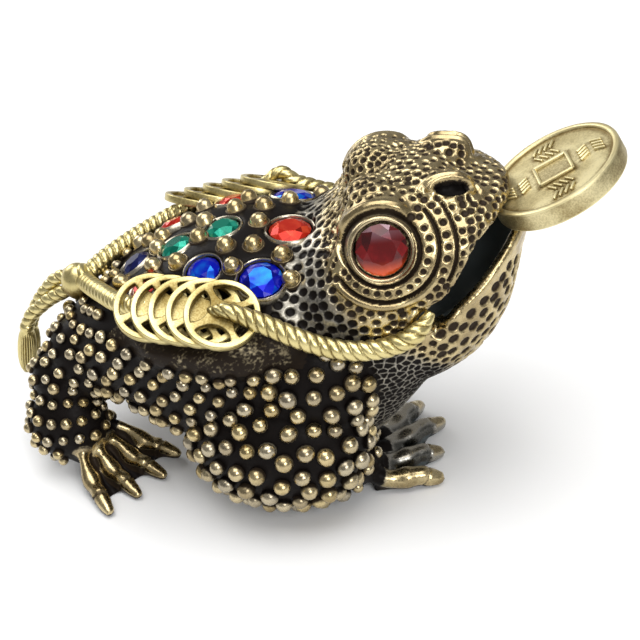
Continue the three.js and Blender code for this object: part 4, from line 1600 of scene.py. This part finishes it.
    def lay_out(self, points: Array, normals: Array) -> None:
        """Chooses the places of all pits.

        Args:
            points: places on the plain skin.
            normals: the skin's directions there.
        """
        free = self.eye_relief(points, normals)[2] * self.nostril_relief(points)[2]
        low, high = self.lips(points)
        head, net = self.headness(points), self.netness(points)
        allowed = (free > 0.5) & (low > 1.75) & (high > 0.8) & (np.maximum(head, net) > 0.4)
        own = to_head(points)
        pitch = 1.5 - 0.12 * head
        jaw = head * (own[:, 2] < 39) * (own[:, 0] > 17) * (low < 50)
        pitch = pitch + 0.75 * jaw
        knob = np.minimum(*[np.linalg.norm(own - [10.1, s * 4.4, 47], axis=1) for s in SIDES])
        pitch = pitch - 0.25 * (1 - step(3.5, 6.0, knob))
        throat = (net > head) * (1 - step(24.0, 29.0, points[:, 2]))
        pitch = np.clip(pitch + 0.15 * (net > head) - 0.6 * throat, 0.95, 2.3)
        chosen = scattered_places(flattened(points[allowed]), pitch[allowed], 11)
        places = points[allowed][chosen]
        radii = pitch[allowed][chosen] * (0.45 + 0.01 * jaw[allowed][chosen])
        rows, sizes = self._eye_rows(points, normals)
        self.pits = PitField(np.concatenate([places, rows]), np.concatenate([radii, sizes]))
        log.info("skin: %d pits", len(self.pits.centres))

    def _ground(self, points: Array) -> Array:
        """Says how rubbed the skin between the warts is: black, and brown below the coins."""
        beds = np.concatenate([along(coin_bed(side), 0.5)[0] for side in SIDES])
        number, reach = nearest(tree_of(beds), points, 1)
        height = points[:, 2]
        strip = np.abs(points[:, 1]) > np.abs(beds[number[:, 0], 1])
        strip = strip * (1 - step(5.4, 6.4, reach[:, 0])) * step(27.0, 28.4, height) * (height < 34)
        strip = strip * (1 - step(-1.0, 3.0, points[:, 0]))
        grain = np.random.default_rng(17).uniform(0, 1, len(points))
        return -0.15 + strip * (0.2 + 0.34 * grain)

    def _eye_rows(self, points: Array, normals: Array) -> tuple[Array, Array]:
        """Places the single rows of pits in the folds round the eyes.

        Args:
            points: places on the skin.
            normals: the skin's directions there.

        Returns:
            The pits' places and their radii.
        """
        rows = [
            (6.15, -150, 44, 1.5, 0.52), (8.55, -30, 36, 1.6, 0.55), (10.6, -28, 30, 1.6, 0.5),
            (6.45, 60, 200, 1.3, 0.42), (7.3, 50, 205, 1.35, 0.45), (8.15, 45, 210, 1.4, 0.47),
        ]
        places, sizes = [], []
        for eye in self.eyes:
            rho, phi, rise = eye.polar(points)
            bar = np.where(eye.on_mound(rise, normals), 0, 1e3)
            for radius, low, high, pitch, size in rows:
                count = round(math.radians(high - low) * radius / pitch)
                for angle in np.linspace(low, high, count + 1)[:-1] + (high - low) / count / 2:
                    off = (phi - angle + 180) % 360 - 180
                    miss = np.hypot(rho - radius, radius * np.radians(off)) + bar
                    best = int(miss.argmin())
                    if miss[best] < 0.5:
                        places.append(points[best])
                        sizes.append(size)
        return np.array(places), np.array(sizes)

    def dress(self, piece: Object) -> None:
        """Raises the relief on a piece of the body and writes what its finish reads."""
        points, normals = points_of(piece), normals_of(piece)
        foot = self.foot(points)
        head, net = self.headness(points), self.netness(points) * (foot < 0.05)
        pitted = np.maximum(head, net)
        mouth = self.in_mouth(points)
        eye_height, eye_worn, _ = self.eye_relief(points, normals)
        nose_height, nose_worn, _ = self.nostril_relief(points)
        low, high = self.lips(points)
        round_pit, cell = self.pits.hollow(points)
        meshed = net * (1 - head)
        thin = meshed * (1 - step(25.0, 30.0, points[:, 2]))
        hollow = (round_pit * (1 - thin) + cell * thin) * (pitted > 0.05) * ~mouth
        height = -0.42 * hollow * (1 - 0.4 * meshed) + eye_height + nose_height
        lower, upper = (1 - step(1.15, 1.5, low)) * ~mouth, (1 - step(0.3, 0.65, high)) * ~mouth
        height += 0.3 * (1 - step(0.4, 0.85, np.abs(low - 0.7))) * ~mouth + 0.12 * upper
        wear = pitted * (1 - hollow) * (0.5 + 0.3 * head)
        wear = np.maximum.reduce([wear, 1.2 * lower, 1.1 * upper])
        wear = np.maximum(wear, eye_worn) * (1 - step(0.1, 0.5, -eye_worn))
        wear = np.clip(np.maximum(wear, nose_worn), 0, 1.2) * (1 - step(0.0, 0.6, -nose_worn))
        ground = self._ground(points)
        wear = np.where(pitted < 0.3, ground, wear)
        reach, share, lift, dull, bare = self.toes(points)
        toe = (1 - step(1.15, 1.4, reach)) * foot * step(0.1, 0.22, share)
        knuckle = band(share, 0.735, 0.03)
        height -= 0.2 * toe * knuckle
        rubbed = 1.15 * step(bare, bare + 0.35, lift) - 0.15
        wear = wear * (1 - foot) + toe * rubbed * (1 - 0.6 * knuckle * (1 - dull))
        dark = step(0.3, 0.7, evened(mouth.astype(float), edges_of(piece), 3))
        wear = wear * (1 - dark) - 0.1 * dark
        tone = np.clip(0.8 * net * (1 - head) + 0.1, 0, 1)
        tone = np.where(pitted < 0.3, np.where(ground < -0.1, 0.6, 0.3), tone)
        tone = np.maximum(tone, 0.6 * step(0.3, 1.5, -nose_worn))
        # Steel-grey toes with a painted highlight along each toe's crest, where the tone turns
        # silver; their nails turn gold, more on their upper part.
        steel = 2.0 - 1.2 * step(0.42, 0.8, lift)
        steel -= 0.8 * step(0.72, 0.8, share) * (1 + step(-0.1, 0.4, lift))
        tone += toe * (np.where(dull > 0, np.clip(steel, 0.2, 2.0), 0.1) - tone)
        tone += 2 * dark * (1 - 0.5 * tone)
        moved = points + normals * height[:, None]
        moved[:, 2] = np.maximum(moved[:, 2], 0)
        set_points(piece, moved)
        write_value(piece, "wear", wear)
        write_value(piece, "tone", tone)


# Warts


BACK_WARTS = [
    (-19, 4), (-16, 2), (-12, 4.5), (-10.5, 8), (-7.5, 5), (-7, -0.5), (-4, 7.5), (-25, 2.5),
    (-22.6, 1.8), (-16, -2.5), (-11, -6), (-6.5, -6), (-2, -7.5), (-22, -6), (-18, -7),
    (-9, -10), (-0.5, -11), (-2.5, -14.4), (-27.5, -5.5), (-0.5, 11), (-13.8, 9), (-17.5, 8.4),
    (-27.5, 5.5), (-22, -1.8), (-2.5, 14.4),
]


class WartKind(Enum):
    """The two shapes of wart: with a ring round it on the back, and plain elsewhere."""

    BACK = "back"
    PLAIN = "plain"


@dataclass
class Warts:
    """All the round knobs, cast on the back, the legs and the flanks."""

    skin: Skin
    back_diameter: float = 2.6
    leg_diameter: float = 2.5
    flank_diameter: float = 1.95
    shin_diameter: float = 1.75
    leg_pitch: float = 3.1
    flank_pitch: float = 2.8
    shin_pitch: float = 2.6
    row_heights: tuple[float, ...] = (13.4, 10.9, 8.4, 5.8, 3.4)
    row_pitch: float = 2.15
    sides: int = 14

    def _knob(self, kind: WartKind) -> tuple[Array, list]:
        """Makes the shape of one wart of radius 1, as points and faces."""
        back = kind is WartKind.BACK
        low, rise = (-30, 0.2) if back else (-42, 0.3)
        arc = [math.radians(angle) for angle in (low, -5, 20, 45, 68)]
        profile = [(math.cos(angle), rise + math.sin(angle)) for angle in arc]
        if back:
            profile[:1] = [(1.3, -0.25), (1.24, 0.04), (1.12, 0.12), (1.03, 0.04)]
        points, faces = skin(turned_rings(profile, self.sides))
        points[-1] = (0, 0, rise + 1)
        under = len(points) - 2
        return points, [face for face in faces if under not in face]

    def _spread(
        self, name: str, kind: WartKind, places: Array, ways: Array, sizes: Array, seed: int
    ) -> Object:
        """Puts copies of a wart on many places, as one mesh.

        Args:
            name: the mesh's name.
            kind: the wart's shape.
            places: where they sit.
            ways: outward directions there.
            sizes: their radii.
            seed: seed of their small differences.

        Returns:
            The mesh with its wear, which also paints highlight and shade, and its tone.
        """
        chance = np.random.default_rng(seed)
        shape, faces = self._knob(kind)
        back = kind is WartKind.BACK
        height = shape[:, 2]
        points, all_faces, wear, tone = [], [], [], []
        for i, (place, way, size) in enumerate(zip(places, ways, sizes)):
            first = unit(np.cross(way, [0.3, 0.9, 0.31]))
            second = np.cross(way, first)
            spin = chance.uniform(0, TAU)
            own = turned_z(shape * (chance.uniform(0.94, 1.07, 3) * size), spin)
            points.append(place + own[:, :1] * first + own[:, 1:2] * second + own[:, 2:] * way)
            all_faces += [[i * len(shape) + k for k in face] for face in faces]
            bright = chance.uniform(0.8, 1.0)
            # Each wart is brighter towards its top and darker towards its base: rubbed metal, and
            # also a painted highlight on the top and painted shade round the base.
            worn = step(0.12, 0.95, height) * bright
            if back:
                worn = np.maximum(step(0.1, 0.6, height) * bright, 0.5 * (height > 0.1))
            wear.append(worn)
            tone.append(np.full(len(shape), chance.uniform(0.0, 0.25 if back else 0.6)))
        warts = from_faces(name, np.concatenate(points), all_faces)
        write_value(warts, "wear", np.concatenate(wear))
        write_value(warts, "tone", np.concatenate(tone))
        return smooth(warts)

    def build(self, points: Array, normals: Array, finish: bpy.types.Material) -> None:
        """Chooses the places, makes the warts and dresses them.

        Args:
            points: places on the plain skin.
            normals: the skin's directions there.
            finish: the brass finish.
        """
        made = [self._on_back(points, normals)]
        allowed, pitch, size = self._leg_field(points, normals)
        chosen = np.flatnonzero(allowed)[scattered_places(points[allowed], pitch[allowed], 31, 4)]
        chosen = np.concatenate([chosen, self._shin_rows(points)])
        shin = size[chosen] < 0.95
        for name, mask in (("warts_legs", ~shin), ("warts_shin", shin)):
            some = chosen[mask]
            radii = size[some] * np.random.default_rng(5).uniform(0.9, 1.08, len(some))
            made.append(self._spread(name, WartKind.PLAIN, points[some], normals[some], radii, 33))
        for piece in made:
            into_row_frame(dressed(piece, finish), Slot.DARK_BRASS, "toad_body")

    def _on_back(self, points: Array, normals: Array) -> Object:
        """Makes the ringed warts between the stones of the back."""
        top = normals[:, 2] > 0.15
        surface, ways = points[top], normals[top]
        flat = tree_of(surface * [1, 1, 0])
        seats = []
        for x, y in BACK_WARTS:
            close = [i for _, i, _ in flat.find_range((x, y, 0), 0.6)]
            if close:
                seats.append(max(close, key=lambda i: surface[i][2]))
        places, ways = surface[seats], ways[seats]
        clear = np.ones(len(places), bool)
        for seat in self.skin.stones.seats:
            clear &= np.linalg.norm(places - seat.place, axis=1) > seat.diameter / 2 + 1.0
        radii = np.full(clear.sum(), self.back_diameter / 2)
        return self._spread("warts_back", WartKind.BACK, places[clear], ways[clear], radii, 21)

    def _shin_rows(self, points: Array) -> Array:
        """Chooses the places of the level rows round the rear shin."""
        away = points[:, :2] - np.array(REAR_MASSES[2].centre)[:2]
        near = (np.hypot(*away.T) < 7.2) & (self.skin.foot(points) < 0.3)
        chosen: list[int] = []
        for height in self.row_heights:
            ring = np.flatnonzero((np.abs(points[:, 2] - height) < 0.3) & near)
            ring = ring[np.argsort(np.arctan2(away[ring, 1], away[ring, 0]))]
            row: list[int] = []
            for i in ring:
                if all(np.linalg.norm(points[i] - points[j]) > self.row_pitch for j in row):
                    row.append(i)
            chosen += row
        return np.array(chosen, int)

    def _leg_field(self, points: Array, normals: Array) -> tuple[Array, Array, Array]:
        """Says where warts of the legs and flanks may sit.

        Args:
            points: places on the plain skin.
            normals: the skin's directions there.

        Returns:
            Whether one may sit at each point, how far apart they are, and how large.
        """
        x, _, z = points.T
        upward = normals[:, 2]
        beds = [along(coin_bed(side), 0.5)[0] for side in SIDES]
        ropes = [along(self.skin.harness.front_route(side), 0.5)[0] for side in SIDES]
        off_bed = way_to(np.concatenate(beds), points)
        off_rope = way_to(np.concatenate(ropes), points)
        pitted = np.maximum(self.skin.headness(points), self.skin.netness(points))
        rear = mass_level(REAR_MASSES, points) < 1.25
        arms = mass_level([mass for arm in ARMS for mass in arm.masses()], points) < 1.25
        shin = np.hypot(*(points - REAR_MASSES[2].centre)[:, :2].T) < 7.6
        shin &= z < self.row_heights[0] + 1.6
        allowed = (upward < 0.95) & (upward > -0.9) & (z < 31.5) & (z > 1.3 + 1.6 * (x > -1))
        allowed &= (pitted < 0.3) & (self.skin.foot(points) < 0.15) & ~shin
        allowed &= self.skin.toes(points)[0] > 1.75
        allowed &= ((off_bed > 5.4) | (z < 28.2)) & (off_rope > 2.4)
        pitch = np.where(arms, self.leg_pitch, self.flank_pitch)
        diameter = np.where(arms, self.leg_diameter, self.flank_diameter)
        pitch = np.where(rear, self.shin_pitch, pitch)
        return allowed, pitch, np.where(rear, self.shin_diameter, diameter) / 2


# The cast body


@dataclass
class Body:
    """The toad itself, joined from its masses and cut where the other pieces go."""

    harness: Harness
    stones: Stones
    coin: MouthCoin
    voxel: float = 0.36  # mm between the points of the plain skin
    gap: float = 0.15
    block: float = 300.0  # side of the block that takes away what is under the floor

    def _masses(self) -> list[Object]:
        """Makes all masses of the body."""
        head = [NECK.build(), UPPER_JAW.build(), LOWER_JAW.build()]
        for centre, radii, power in HEAD_BALLS:
            head += [Ball(mirrored(centre, side), radii, power).build() for side in SIDES]
        beds = [Bar(coin_bed(side), [2.4, 4.4, 4.6, 4.4, 2.6]).build() for side in SIDES]
        rear = [ball.build() for ball in REAR_MASSES]
        return [
            TRUNK.build(), *in_head(head), *beds, *rear, ANKLE.build(),
            *NEAR_ARM.forms(), *FAR_ARM.forms(), *REAR_FOOT.forms(),
        ]

    def _cuts(self) -> list[Object]:
        """Makes all that is taken away from the masses."""
        nostrils = [Ball((20.8, side * 7.4, 47.9), (2.4, 1.5, 0.8)).build() for side in SIDES]
        cuts = in_head([MOUTH_HOLLOW.build(), MOUTH_SLIT.build(), *nostrils])
        cuts.append(self.coin.room(self.gap))
        cuts += self.harness.rooms(self.gap)
        add = bpy.ops.mesh.primitive_cylinder_add
        for seat in self.stones.seats:
            place = stand(seat.place + seat.axis * 2.2, seat.axis)
            radius = seat.diameter / 2 + 0.3 + 0.6 * seat.wall
            cuts.append(primitive(add, place, vertices=48, radius=radius, depth=6))
        middle = (0, 0, -self.block / 2)
        cuts.append(primitive(bpy.ops.mesh.primitive_cube_add, size=self.block, location=middle))
        return cuts

    def plain(self) -> Object:
        """Joins the masses and takes the cuts away.

        Returns:
            The plain body, before its relief.
        """
        whole = joined("toad", self._masses())
        finished_with(whole, "REMESH", mode="VOXEL", voxel_size=self.voxel * 1.2)
        for cut in self._cuts():
            finished_with(whole, "BOOLEAN", operation="DIFFERENCE", object=cut, solver="MANIFOLD")
            bpy.data.objects.remove(cut)
        finished_with(whole, "REMESH", mode="VOXEL", voxel_size=self.voxel)
        points = evened(points_of(whole), edges_of(whole), 4)
        points[:, 2] = np.maximum(points[:, 2], 0)
        set_points(whole, points)
        log.info("plain body: %d points", len(points))
        return whole

    def build(self, finish: bpy.types.Material) -> None:
        """Makes the body's pieces with their relief, and the warts, and dresses them."""
        whole = self.plain()
        skin_field = Skin(self.harness, self.stones)
        points, normals = points_of(whole), normals_of(whole)
        skin_field.lay_out(points, normals)
        head, net = skin_field.headness(points) > 0.35, skin_field.netness(points) > 0.1
        pieces = self._parted(whole, head, net, skin_field.foot(points) > 0.02)
        for piece in pieces:
            skin_field.dress(piece)
            into_row_frame(smooth(dressed(piece, finish)), Slot.DARK_BRASS, "toad_body")
        Warts(skin_field).build(points, normals, finish)

    def _parted(self, whole: Object, head: Array, net: Array, foot: Array) -> list[Object]:
        """Parts the body into the trunk and the finer neck, feet and halves of the head.

        Args:
            whole: the plain body, which is used up.
            head: which of its points belong to the head.
            net: which of its points carry the neck's net.
            foot: which of its points belong to hands and feet.

        Returns:
            The parts.
        """
        points = points_of(whole)
        near = to_head(points)[:, 1] < 0
        corners = [list(p.vertices) for p in whole.data.polygons]
        names = ("head_left", "head_right", "trunk_and_legs", "neck_and_chest", "hands_and_foot")
        trunk, neck, feet = 2, 3, 4

        def kind_of(face: list[int]) -> int:
            """Says which part a face belongs to."""
            if head[face].all():
                return int(near[face[0]])
            if net[face].any():
                return neck
            return feet if foot[face].all() else trunk

        kind = np.array([kind_of(face) for face in corners])
        parts = []
        for number, name in enumerate(names):
            used = [corners[i] for i in np.flatnonzero(kind == number)]
            numbers = np.unique(np.concatenate(used))
            place = np.full(len(points), -1)
            place[numbers] = np.arange(len(numbers))
            part = from_faces(name, points[numbers], [place[face] for face in used])
            if number != trunk:
                self._refine(part, 16 if number == feet else 3)
            parts.append(part)
        bpy.data.objects.remove(whole)
        return parts

    def _refine(self, part: Object, rounds: int) -> None:
        """Halves the spacing of a part's points and evens them some rounds, its border held."""
        finished_with(part, "SUBSURF", subdivision_type="SIMPLE", levels=1, render_levels=1)
        bm = bmesh.new()
        bm.from_mesh(part.data)
        border = np.array([v.is_boundary for v in bm.verts])
        bm.free()
        set_points(part, evened(points_of(part), edges_of(part), rounds, border))


# Finishes


class Nodes:
    """Builds a node tree step by step."""

    def __init__(self, tree: bpy.types.NodeTree) -> None:
        """Starts on an empty tree."""
        self.tree = tree
        tree.nodes.clear()

    def add(self, kind: str, inputs: dict | None = None, **settings: object) -> bpy.types.Node:
        """Adds a node.

        Args:
            kind: the node's type.
            inputs: values or sockets for its inputs, by name or number.
            settings: its own settings.

        Returns:
            The node.
        """
        node = self.tree.nodes.new(kind)
        for key, value in settings.items():
            setattr(node, key, value)
        for key, value in (inputs or {}).items():
            target = node.inputs[key]
            if isinstance(value, bpy.types.NodeSocket):
                self.tree.links.new(value, target)
            elif isinstance(value, tuple) and target.type == "RGBA" and len(value) == 3:
                target.default_value = (*value, 1)
            else:
                target.default_value = value
        return node

    def maths(self, operation: str, first: object, second: object) -> Socket:
        """Adds a maths node and gives its result."""
        return self.add("ShaderNodeMath", {0: first, 1: second}, operation=operation).outputs[0]

    def mix(self, share: object, first: object, second: object) -> Socket:
        """Mixes two colours and gives the result."""
        inputs = {"Factor": share, 6: first, 7: second}
        return self.add("ShaderNodeMix", inputs, data_type="RGBA").outputs[2]

    def span(
        self, value: object, low: float, high: float,
        out_low: object = 0.0, out_high: object = 1.0, kind: str = "SMOOTHSTEP",
    ) -> Socket:
        """Takes a range of values to another.

        Args:
            value: what is taken.
            low: where the range starts.
            high: where the range ends.
            out_low: what the start becomes.
            out_high: what the end becomes.
            kind: how values between them go.

        Returns:
            The new value.
        """
        inputs = {"Value": value, "From Min": low, "From Max": high}
        inputs |= {"To Min": out_low, "To Max": out_high}
        return self.add("ShaderNodeMapRange", inputs, interpolation_type=kind).outputs[0]

    def noise(self, place: Socket, scale: object, detail: float) -> Socket:
        """Adds a noise at a scale in turns per metre."""
        inputs = {"Vector": place, "Scale": scale, "Detail": detail}
        return self.add("ShaderNodeTexNoise", inputs).outputs[0]

    def attribute(self, name: str) -> Socket:
        """Reads a value kept on the mesh."""
        return self.add("ShaderNodeAttribute", attribute_name=name).outputs["Fac"]

    def surface(self, inputs: dict) -> None:
        """Adds the shader with its inputs, and the material's output."""
        shader = self.add("ShaderNodeBsdfPrincipled", inputs)
        self.add("ShaderNodeOutputMaterial", {"Surface": shader.outputs[0]})


def new_material(name: str) -> tuple[bpy.types.Material, Nodes]:
    """Makes an empty material, and what builds its nodes."""
    material = bpy.data.materials.new(name)
    material.use_nodes = True
    return material, Nodes(material.node_tree)


def rubbed_metal_group() -> bpy.types.NodeTree:
    """Builds the shared effect: metal rubbed bright where it is high and filmed where it is low.

    Returns:
        The node group, with a colour, a roughness, a metallic share and a height.
    """
    tree = bpy.data.node_groups.new("rubbed_metal", "ShaderNodeTree")
    floats = (
        "Wear", "Tone", "Patch Scale", "Grain Scale", "Polish", "Film Roughness", "Film Metal",
    )
    colours = ("Bright", "Dull", "Silver", "Film", "Black", "Steel", "Lining")
    results = ("Roughness", "Metallic", "Height")
    for names, way, kind in (
        (floats, "INPUT", "Float"), (colours, "INPUT", "Color"),
        (("Color",), "OUTPUT", "Color"), (results, "OUTPUT", "Float"),
    ):
        for name in names:
            tree.interface.new_socket(name, in_out=way, socket_type=f"NodeSocket{kind}")
    nodes = Nodes(tree)
    given = nodes.add("NodeGroupInput").outputs
    tone = given["Tone"]
    place = nodes.add("ShaderNodeTexCoord").outputs["Object"]
    patch = nodes.noise(place, given["Patch Scale"], 4.0)
    grain = nodes.noise(place, given["Grain Scale"], 3.0)
    # Wear and tone also carry painted light on some pieces: shade on the mouth coin's rim and side,
    # highlight and shade on the warts, and the highlight on the steel toes' crests.
    stirred = nodes.maths("ADD", given["Wear"], nodes.span(patch, 0.3, 0.7, -0.1, 0.1))
    stirred = nodes.maths("ADD", stirred, nodes.span(grain, 0.3, 0.7, -0.07, 0.07))
    rubbed = nodes.span(stirred, 0.22, 0.72)
    metal = nodes.mix(nodes.span(patch, 0.35, 0.65), given["Dull"], given["Bright"])
    metal = nodes.mix(tone, metal, given["Silver"])
    steely = nodes.span(tone, 1.0, 2.0)
    film = nodes.mix(nodes.span(tone, 0.1, 0.5), given["Film"], given["Black"])
    film = nodes.mix(steely, film, given["Lining"])
    colour = nodes.mix(rubbed, film, nodes.mix(steely, metal, given["Steel"]))
    rough = nodes.span(rubbed, 0.0, 1.0, given["Film Roughness"], given["Polish"], "LINEAR")
    rough = nodes.maths("ADD", rough, nodes.span(grain, 0.3, 0.7, -0.05, 0.08))
    metallic = nodes.span(rubbed, 0.0, 1.0, given["Film Metal"], 1.0, "LINEAR")
    outputs = {"Color": colour, "Roughness": rough, "Metallic": metallic, "Height": grain}
    nodes.add("NodeGroupOutput", outputs)
    return tree


@dataclass(frozen=True)
class RubbedMetal:
    """A metal finish with a film in the low places."""

    name: str
    bright: Colour
    dull: Colour
    silver: Colour
    film: Colour
    polish: float
    film_roughness: float
    film_metal: float
    patch_scale: float = 300.0
    grain_scale: float = 2600.0
    grain_depth: float = 0.00002
    black: Colour = (0.0065, 0.0048, 0.0042)
    steel: Colour = (0.10, 0.098, 0.088)
    lining: Colour = (0.09, 0.104, 0.106)

    def build(self, group: bpy.types.NodeTree) -> bpy.types.Material:
        """Makes the material round the shared effect."""
        material, nodes = new_material(self.name)
        values = {
            "Wear": nodes.attribute("wear"), "Tone": nodes.attribute("tone"),
            "Bright": self.bright, "Dull": self.dull, "Silver": self.silver, "Film": self.film,
            "Patch Scale": self.patch_scale, "Grain Scale": self.grain_scale,
            "Polish": self.polish, "Film Roughness": self.film_roughness,
            "Film Metal": self.film_metal,
            "Black": self.black, "Steel": self.steel, "Lining": self.lining,
        }
        effect = nodes.add("ShaderNodeGroup", values, node_tree=group).outputs
        height = {"Height": effect["Height"], "Strength": 0.5, "Distance": self.grain_depth}
        nodes.surface(
            {
                "Base Color": effect["Color"], "Roughness": effect["Roughness"],
                "Metallic": effect["Metallic"], "Specular IOR Level": 0.07,
                "Normal": nodes.add("ShaderNodeBump", height).outputs[0],
            }
        )
        return material


@dataclass(frozen=True)
class CutGlass:
    """Foil-backed coloured glass, with facets that differ in brightness at random: painted light,
    from painted shade on the darkest facets to a painted glint on the brightest.
    """

    name: str
    # deep: the darkest facets, in painted shade; body: the glass's own colour.
    deep: Colour
    body: Colour
    # The brightest facets: a painted glint.
    painted_glint: Colour
    # The eye's glass can get a painted glow on its lower part and a painted reflection on its upper
    # facets.
    paints_glow_below: bool = False
    painted_glow: Colour = (0.80, 0.10, 0.015)
    painted_glow_span: tuple[float, float] = (0.0395, 0.0422)  # heights between which the painted glow fades
    painted_reflection: Colour = (0.20, 0.11, 0.13)
    painted_reflection_span: tuple[float, float] = (0.0440, 0.0458)  # heights where the painted reflection on the upper facets begins
    metallic: float = 0.4
    coat: float = 0.12
    gloss: float = 0.2

    def build(self) -> bpy.types.Material:
        """Makes the material."""
        material, nodes = new_material(self.name)
        facet = nodes.attribute("facet")
        place = nodes.add("ShaderNodeTexCoord").outputs["Object"]
        cloud = nodes.maths("MULTIPLY", nodes.noise(place, 500.0, 2.0), 0.45)
        # Each facet's random level runs from painted shade through the glass's colour to a painted
        # glint.
        level = nodes.maths("ADD", nodes.maths("MULTIPLY", facet, 0.7), cloud)
        colour = nodes.mix(nodes.span(level, 0.1, 0.6), self.deep, self.body)
        colour = nodes.mix(nodes.span(level, 0.72, 1.0), colour, self.painted_glint)
        # A painted glow low on the eye, and a painted reflection on its pale upper facets.
        if self.paints_glow_below:
            height = nodes.add("ShaderNodeSeparateXYZ", {0: place}).outputs[2]
            colour = nodes.mix(nodes.span(height, *self.painted_glow_span, 0.85, 0.0), colour, self.painted_glow)
            above, pale = nodes.span(height, *self.painted_reflection_span), nodes.span(facet, 0.3, 0.6)
            colour = nodes.mix(nodes.maths("MULTIPLY", above, pale), colour, self.painted_reflection)
        nodes.surface(
            {
                "Base Color": colour, "Metallic": self.metallic, "Roughness": 0.16, "IOR": 1.5,
                "Coat Weight": self.coat, "Coat Roughness": 0.02, "Coat IOR": 1.5,
                "Specular IOR Level": self.gloss,
            }
        )
        return material


AGED_BRASS = RubbedMetal(
    "aged_brass", (0.60, 0.48, 0.25), (0.32, 0.24, 0.11), (0.40, 0.38, 0.335),
    (0.028, 0.019, 0.012), 0.26, 0.42, 0.1,
)
PALE_GOLD = RubbedMetal(
    "pale_gold", (0.72, 0.62, 0.30), (0.60, 0.50, 0.22), (0.7, 0.66, 0.5),
    (0.17, 0.115, 0.03), 0.32, 0.5, 1.0, 160.0, 3800.0,
)
STRUCK_GOLD = RubbedMetal(
    "struck_gold", (0.80, 0.71, 0.42), (0.66, 0.57, 0.31), (0.6, 0.55, 0.4),
    (0.20, 0.14, 0.05), 0.46, 0.5, 1.0, 160.0, 3800.0,
)
GLASSES = {
    Slot.EYE_RED: CutGlass(
        "eye_glass", (0.025, 0.0008, 0.0015), (0.12, 0.003, 0.004), (0.30, 0.01, 0.012),
        True, coat=0.4, gloss=0.5,
    ),
    Slot.RED: CutGlass("red_glass", (0.14, 0.003, 0.002), (0.48, 0.018, 0.006), (0.74, 0.08, 0.03)),
    Slot.GREEN: CutGlass("green_glass", (0.0, 0.05, 0.035), (0.0, 0.18, 0.115), (0.03, 0.42, 0.29)),
    Slot.BLUE: CutGlass("blue_glass", (0.0, 0.0, 0.1), (0.0, 0.005, 0.42), (0.0, 0.24, 0.76)),
    Slot.NIGHT_BLUE: CutGlass(
        "night_glass", (0.0, 0.0, 0.02), (0.006, 0.008, 0.07), (0.05, 0.07, 0.2)
    ),
}


# Floor, light and camera


@dataclass
class Studio:
    """A pale floor, soft light and the camera of the photograph."""

    elevation: float = 34.0
    azimuth: float = 15.0
    roll: float = 7.0
    distance: float = 261.0
    aim: Triple = (0.0, 0.0, 23.248)
    lens: float = 101.25

    def build(self) -> None:
        """Makes the floor, the lights and the camera."""
        add = bpy.ops.mesh.primitive_plane_add
        floor = primitive(add, size=4.0, location=(0, 0, -0.0001))
        floor.name = "floor"
        paper, nodes = new_material("pale_paper")
        nodes.surface({"Base Color": (0.9, 0.9, 0.9), "Roughness": 0.8})
        dressed(floor, paper)
        world = bpy.data.worlds.new("soft_room")
        world.use_nodes = True
        world.node_tree.nodes["Background"].inputs[0].default_value = (1, 1, 1, 1)
        world.node_tree.nodes["Background"].inputs[1].default_value = 0.32
        bpy.context.scene.world = world
        bpy.context.scene.view_settings.view_transform = "Standard"
        self._lamp("overhead", (0.0, -0.05, 0.55), (0, 0, 0.02), 0.5, 2.9)
        self._lamp("window_right", (0.35, -0.5, 0.4), (0, 0, 0.03), 0.3, 2.2)
        self._lamp("window_back", (-0.45, 0.35, 0.3), (0, 0, 0.03), 0.3, 1.3)
        self._camera()

    def _lamp(self, name: str, place: Triple, aim: Triple, size: float, power: float) -> None:
        """Hangs a soft square lamp that points at a place."""
        light = bpy.data.lights.new(name, "AREA")
        light.size, light.energy = size, power
        lamp = bpy.data.objects.new(name, light)
        lamp.location = place
        lamp.rotation_mode = "QUATERNION"
        lamp.rotation_quaternion = (Vector(aim) - Vector(place)).to_track_quat("-Z", "Y")
        bpy.context.scene.collection.objects.link(lamp)

    def _camera(self) -> None:
        """Sets up the camera at the photograph's angle."""
        a, e, r = (math.radians(x) for x in (self.azimuth, self.elevation, self.roll))
        back = np.array([math.sin(a) * math.cos(e), -math.cos(a) * math.cos(e), math.sin(e)])
        right = np.array([math.cos(a), math.sin(a), 0])
        up = np.cross(back, right)
        right_rolled = right * math.cos(r) - up * math.sin(r)
        up_rolled = right * math.sin(r) + up * math.cos(r)
        place = (np.array(self.aim) + [TOAD_SHIFT, 0, 0] + back * self.distance) * MM
        data = bpy.data.cameras.new("camera")
        data.sensor_width, data.lens = 36, self.lens
        data.clip_start, data.clip_end = 0.01, 10
        camera = bpy.data.objects.new("camera", data)
        turn = np.stack([right_rolled, up_rolled, back], axis=1)
        rows = [(*row, shift) for row, shift in zip(turn.tolist(), place.tolist())]
        camera.matrix_world = Matrix([*rows, (0, 0, 0, 1)])
        bpy.context.scene.collection.objects.link(camera)
        bpy.context.scene.camera = camera


def main() -> None:
    """Builds the whole figure and its studio."""
    logging.basicConfig(level=logging.INFO, format="%(message)s")
    Studio().build()
    group = rubbed_metal_group()
    brass, gold, struck = (finish.build(group) for finish in (AGED_BRASS, PALE_GOLD, STRUCK_GOLD))
    glasses = {slot: glass.build() for slot, glass in GLASSES.items()}
    harness, stones, coin = Harness(), Stones(), MouthCoin()
    stones.build(glasses, brass)
    coin.build(struck)
    harness.build(gold)
    Body(harness, stones, coin).build(brass)


if __name__ == "__main__":
    main()
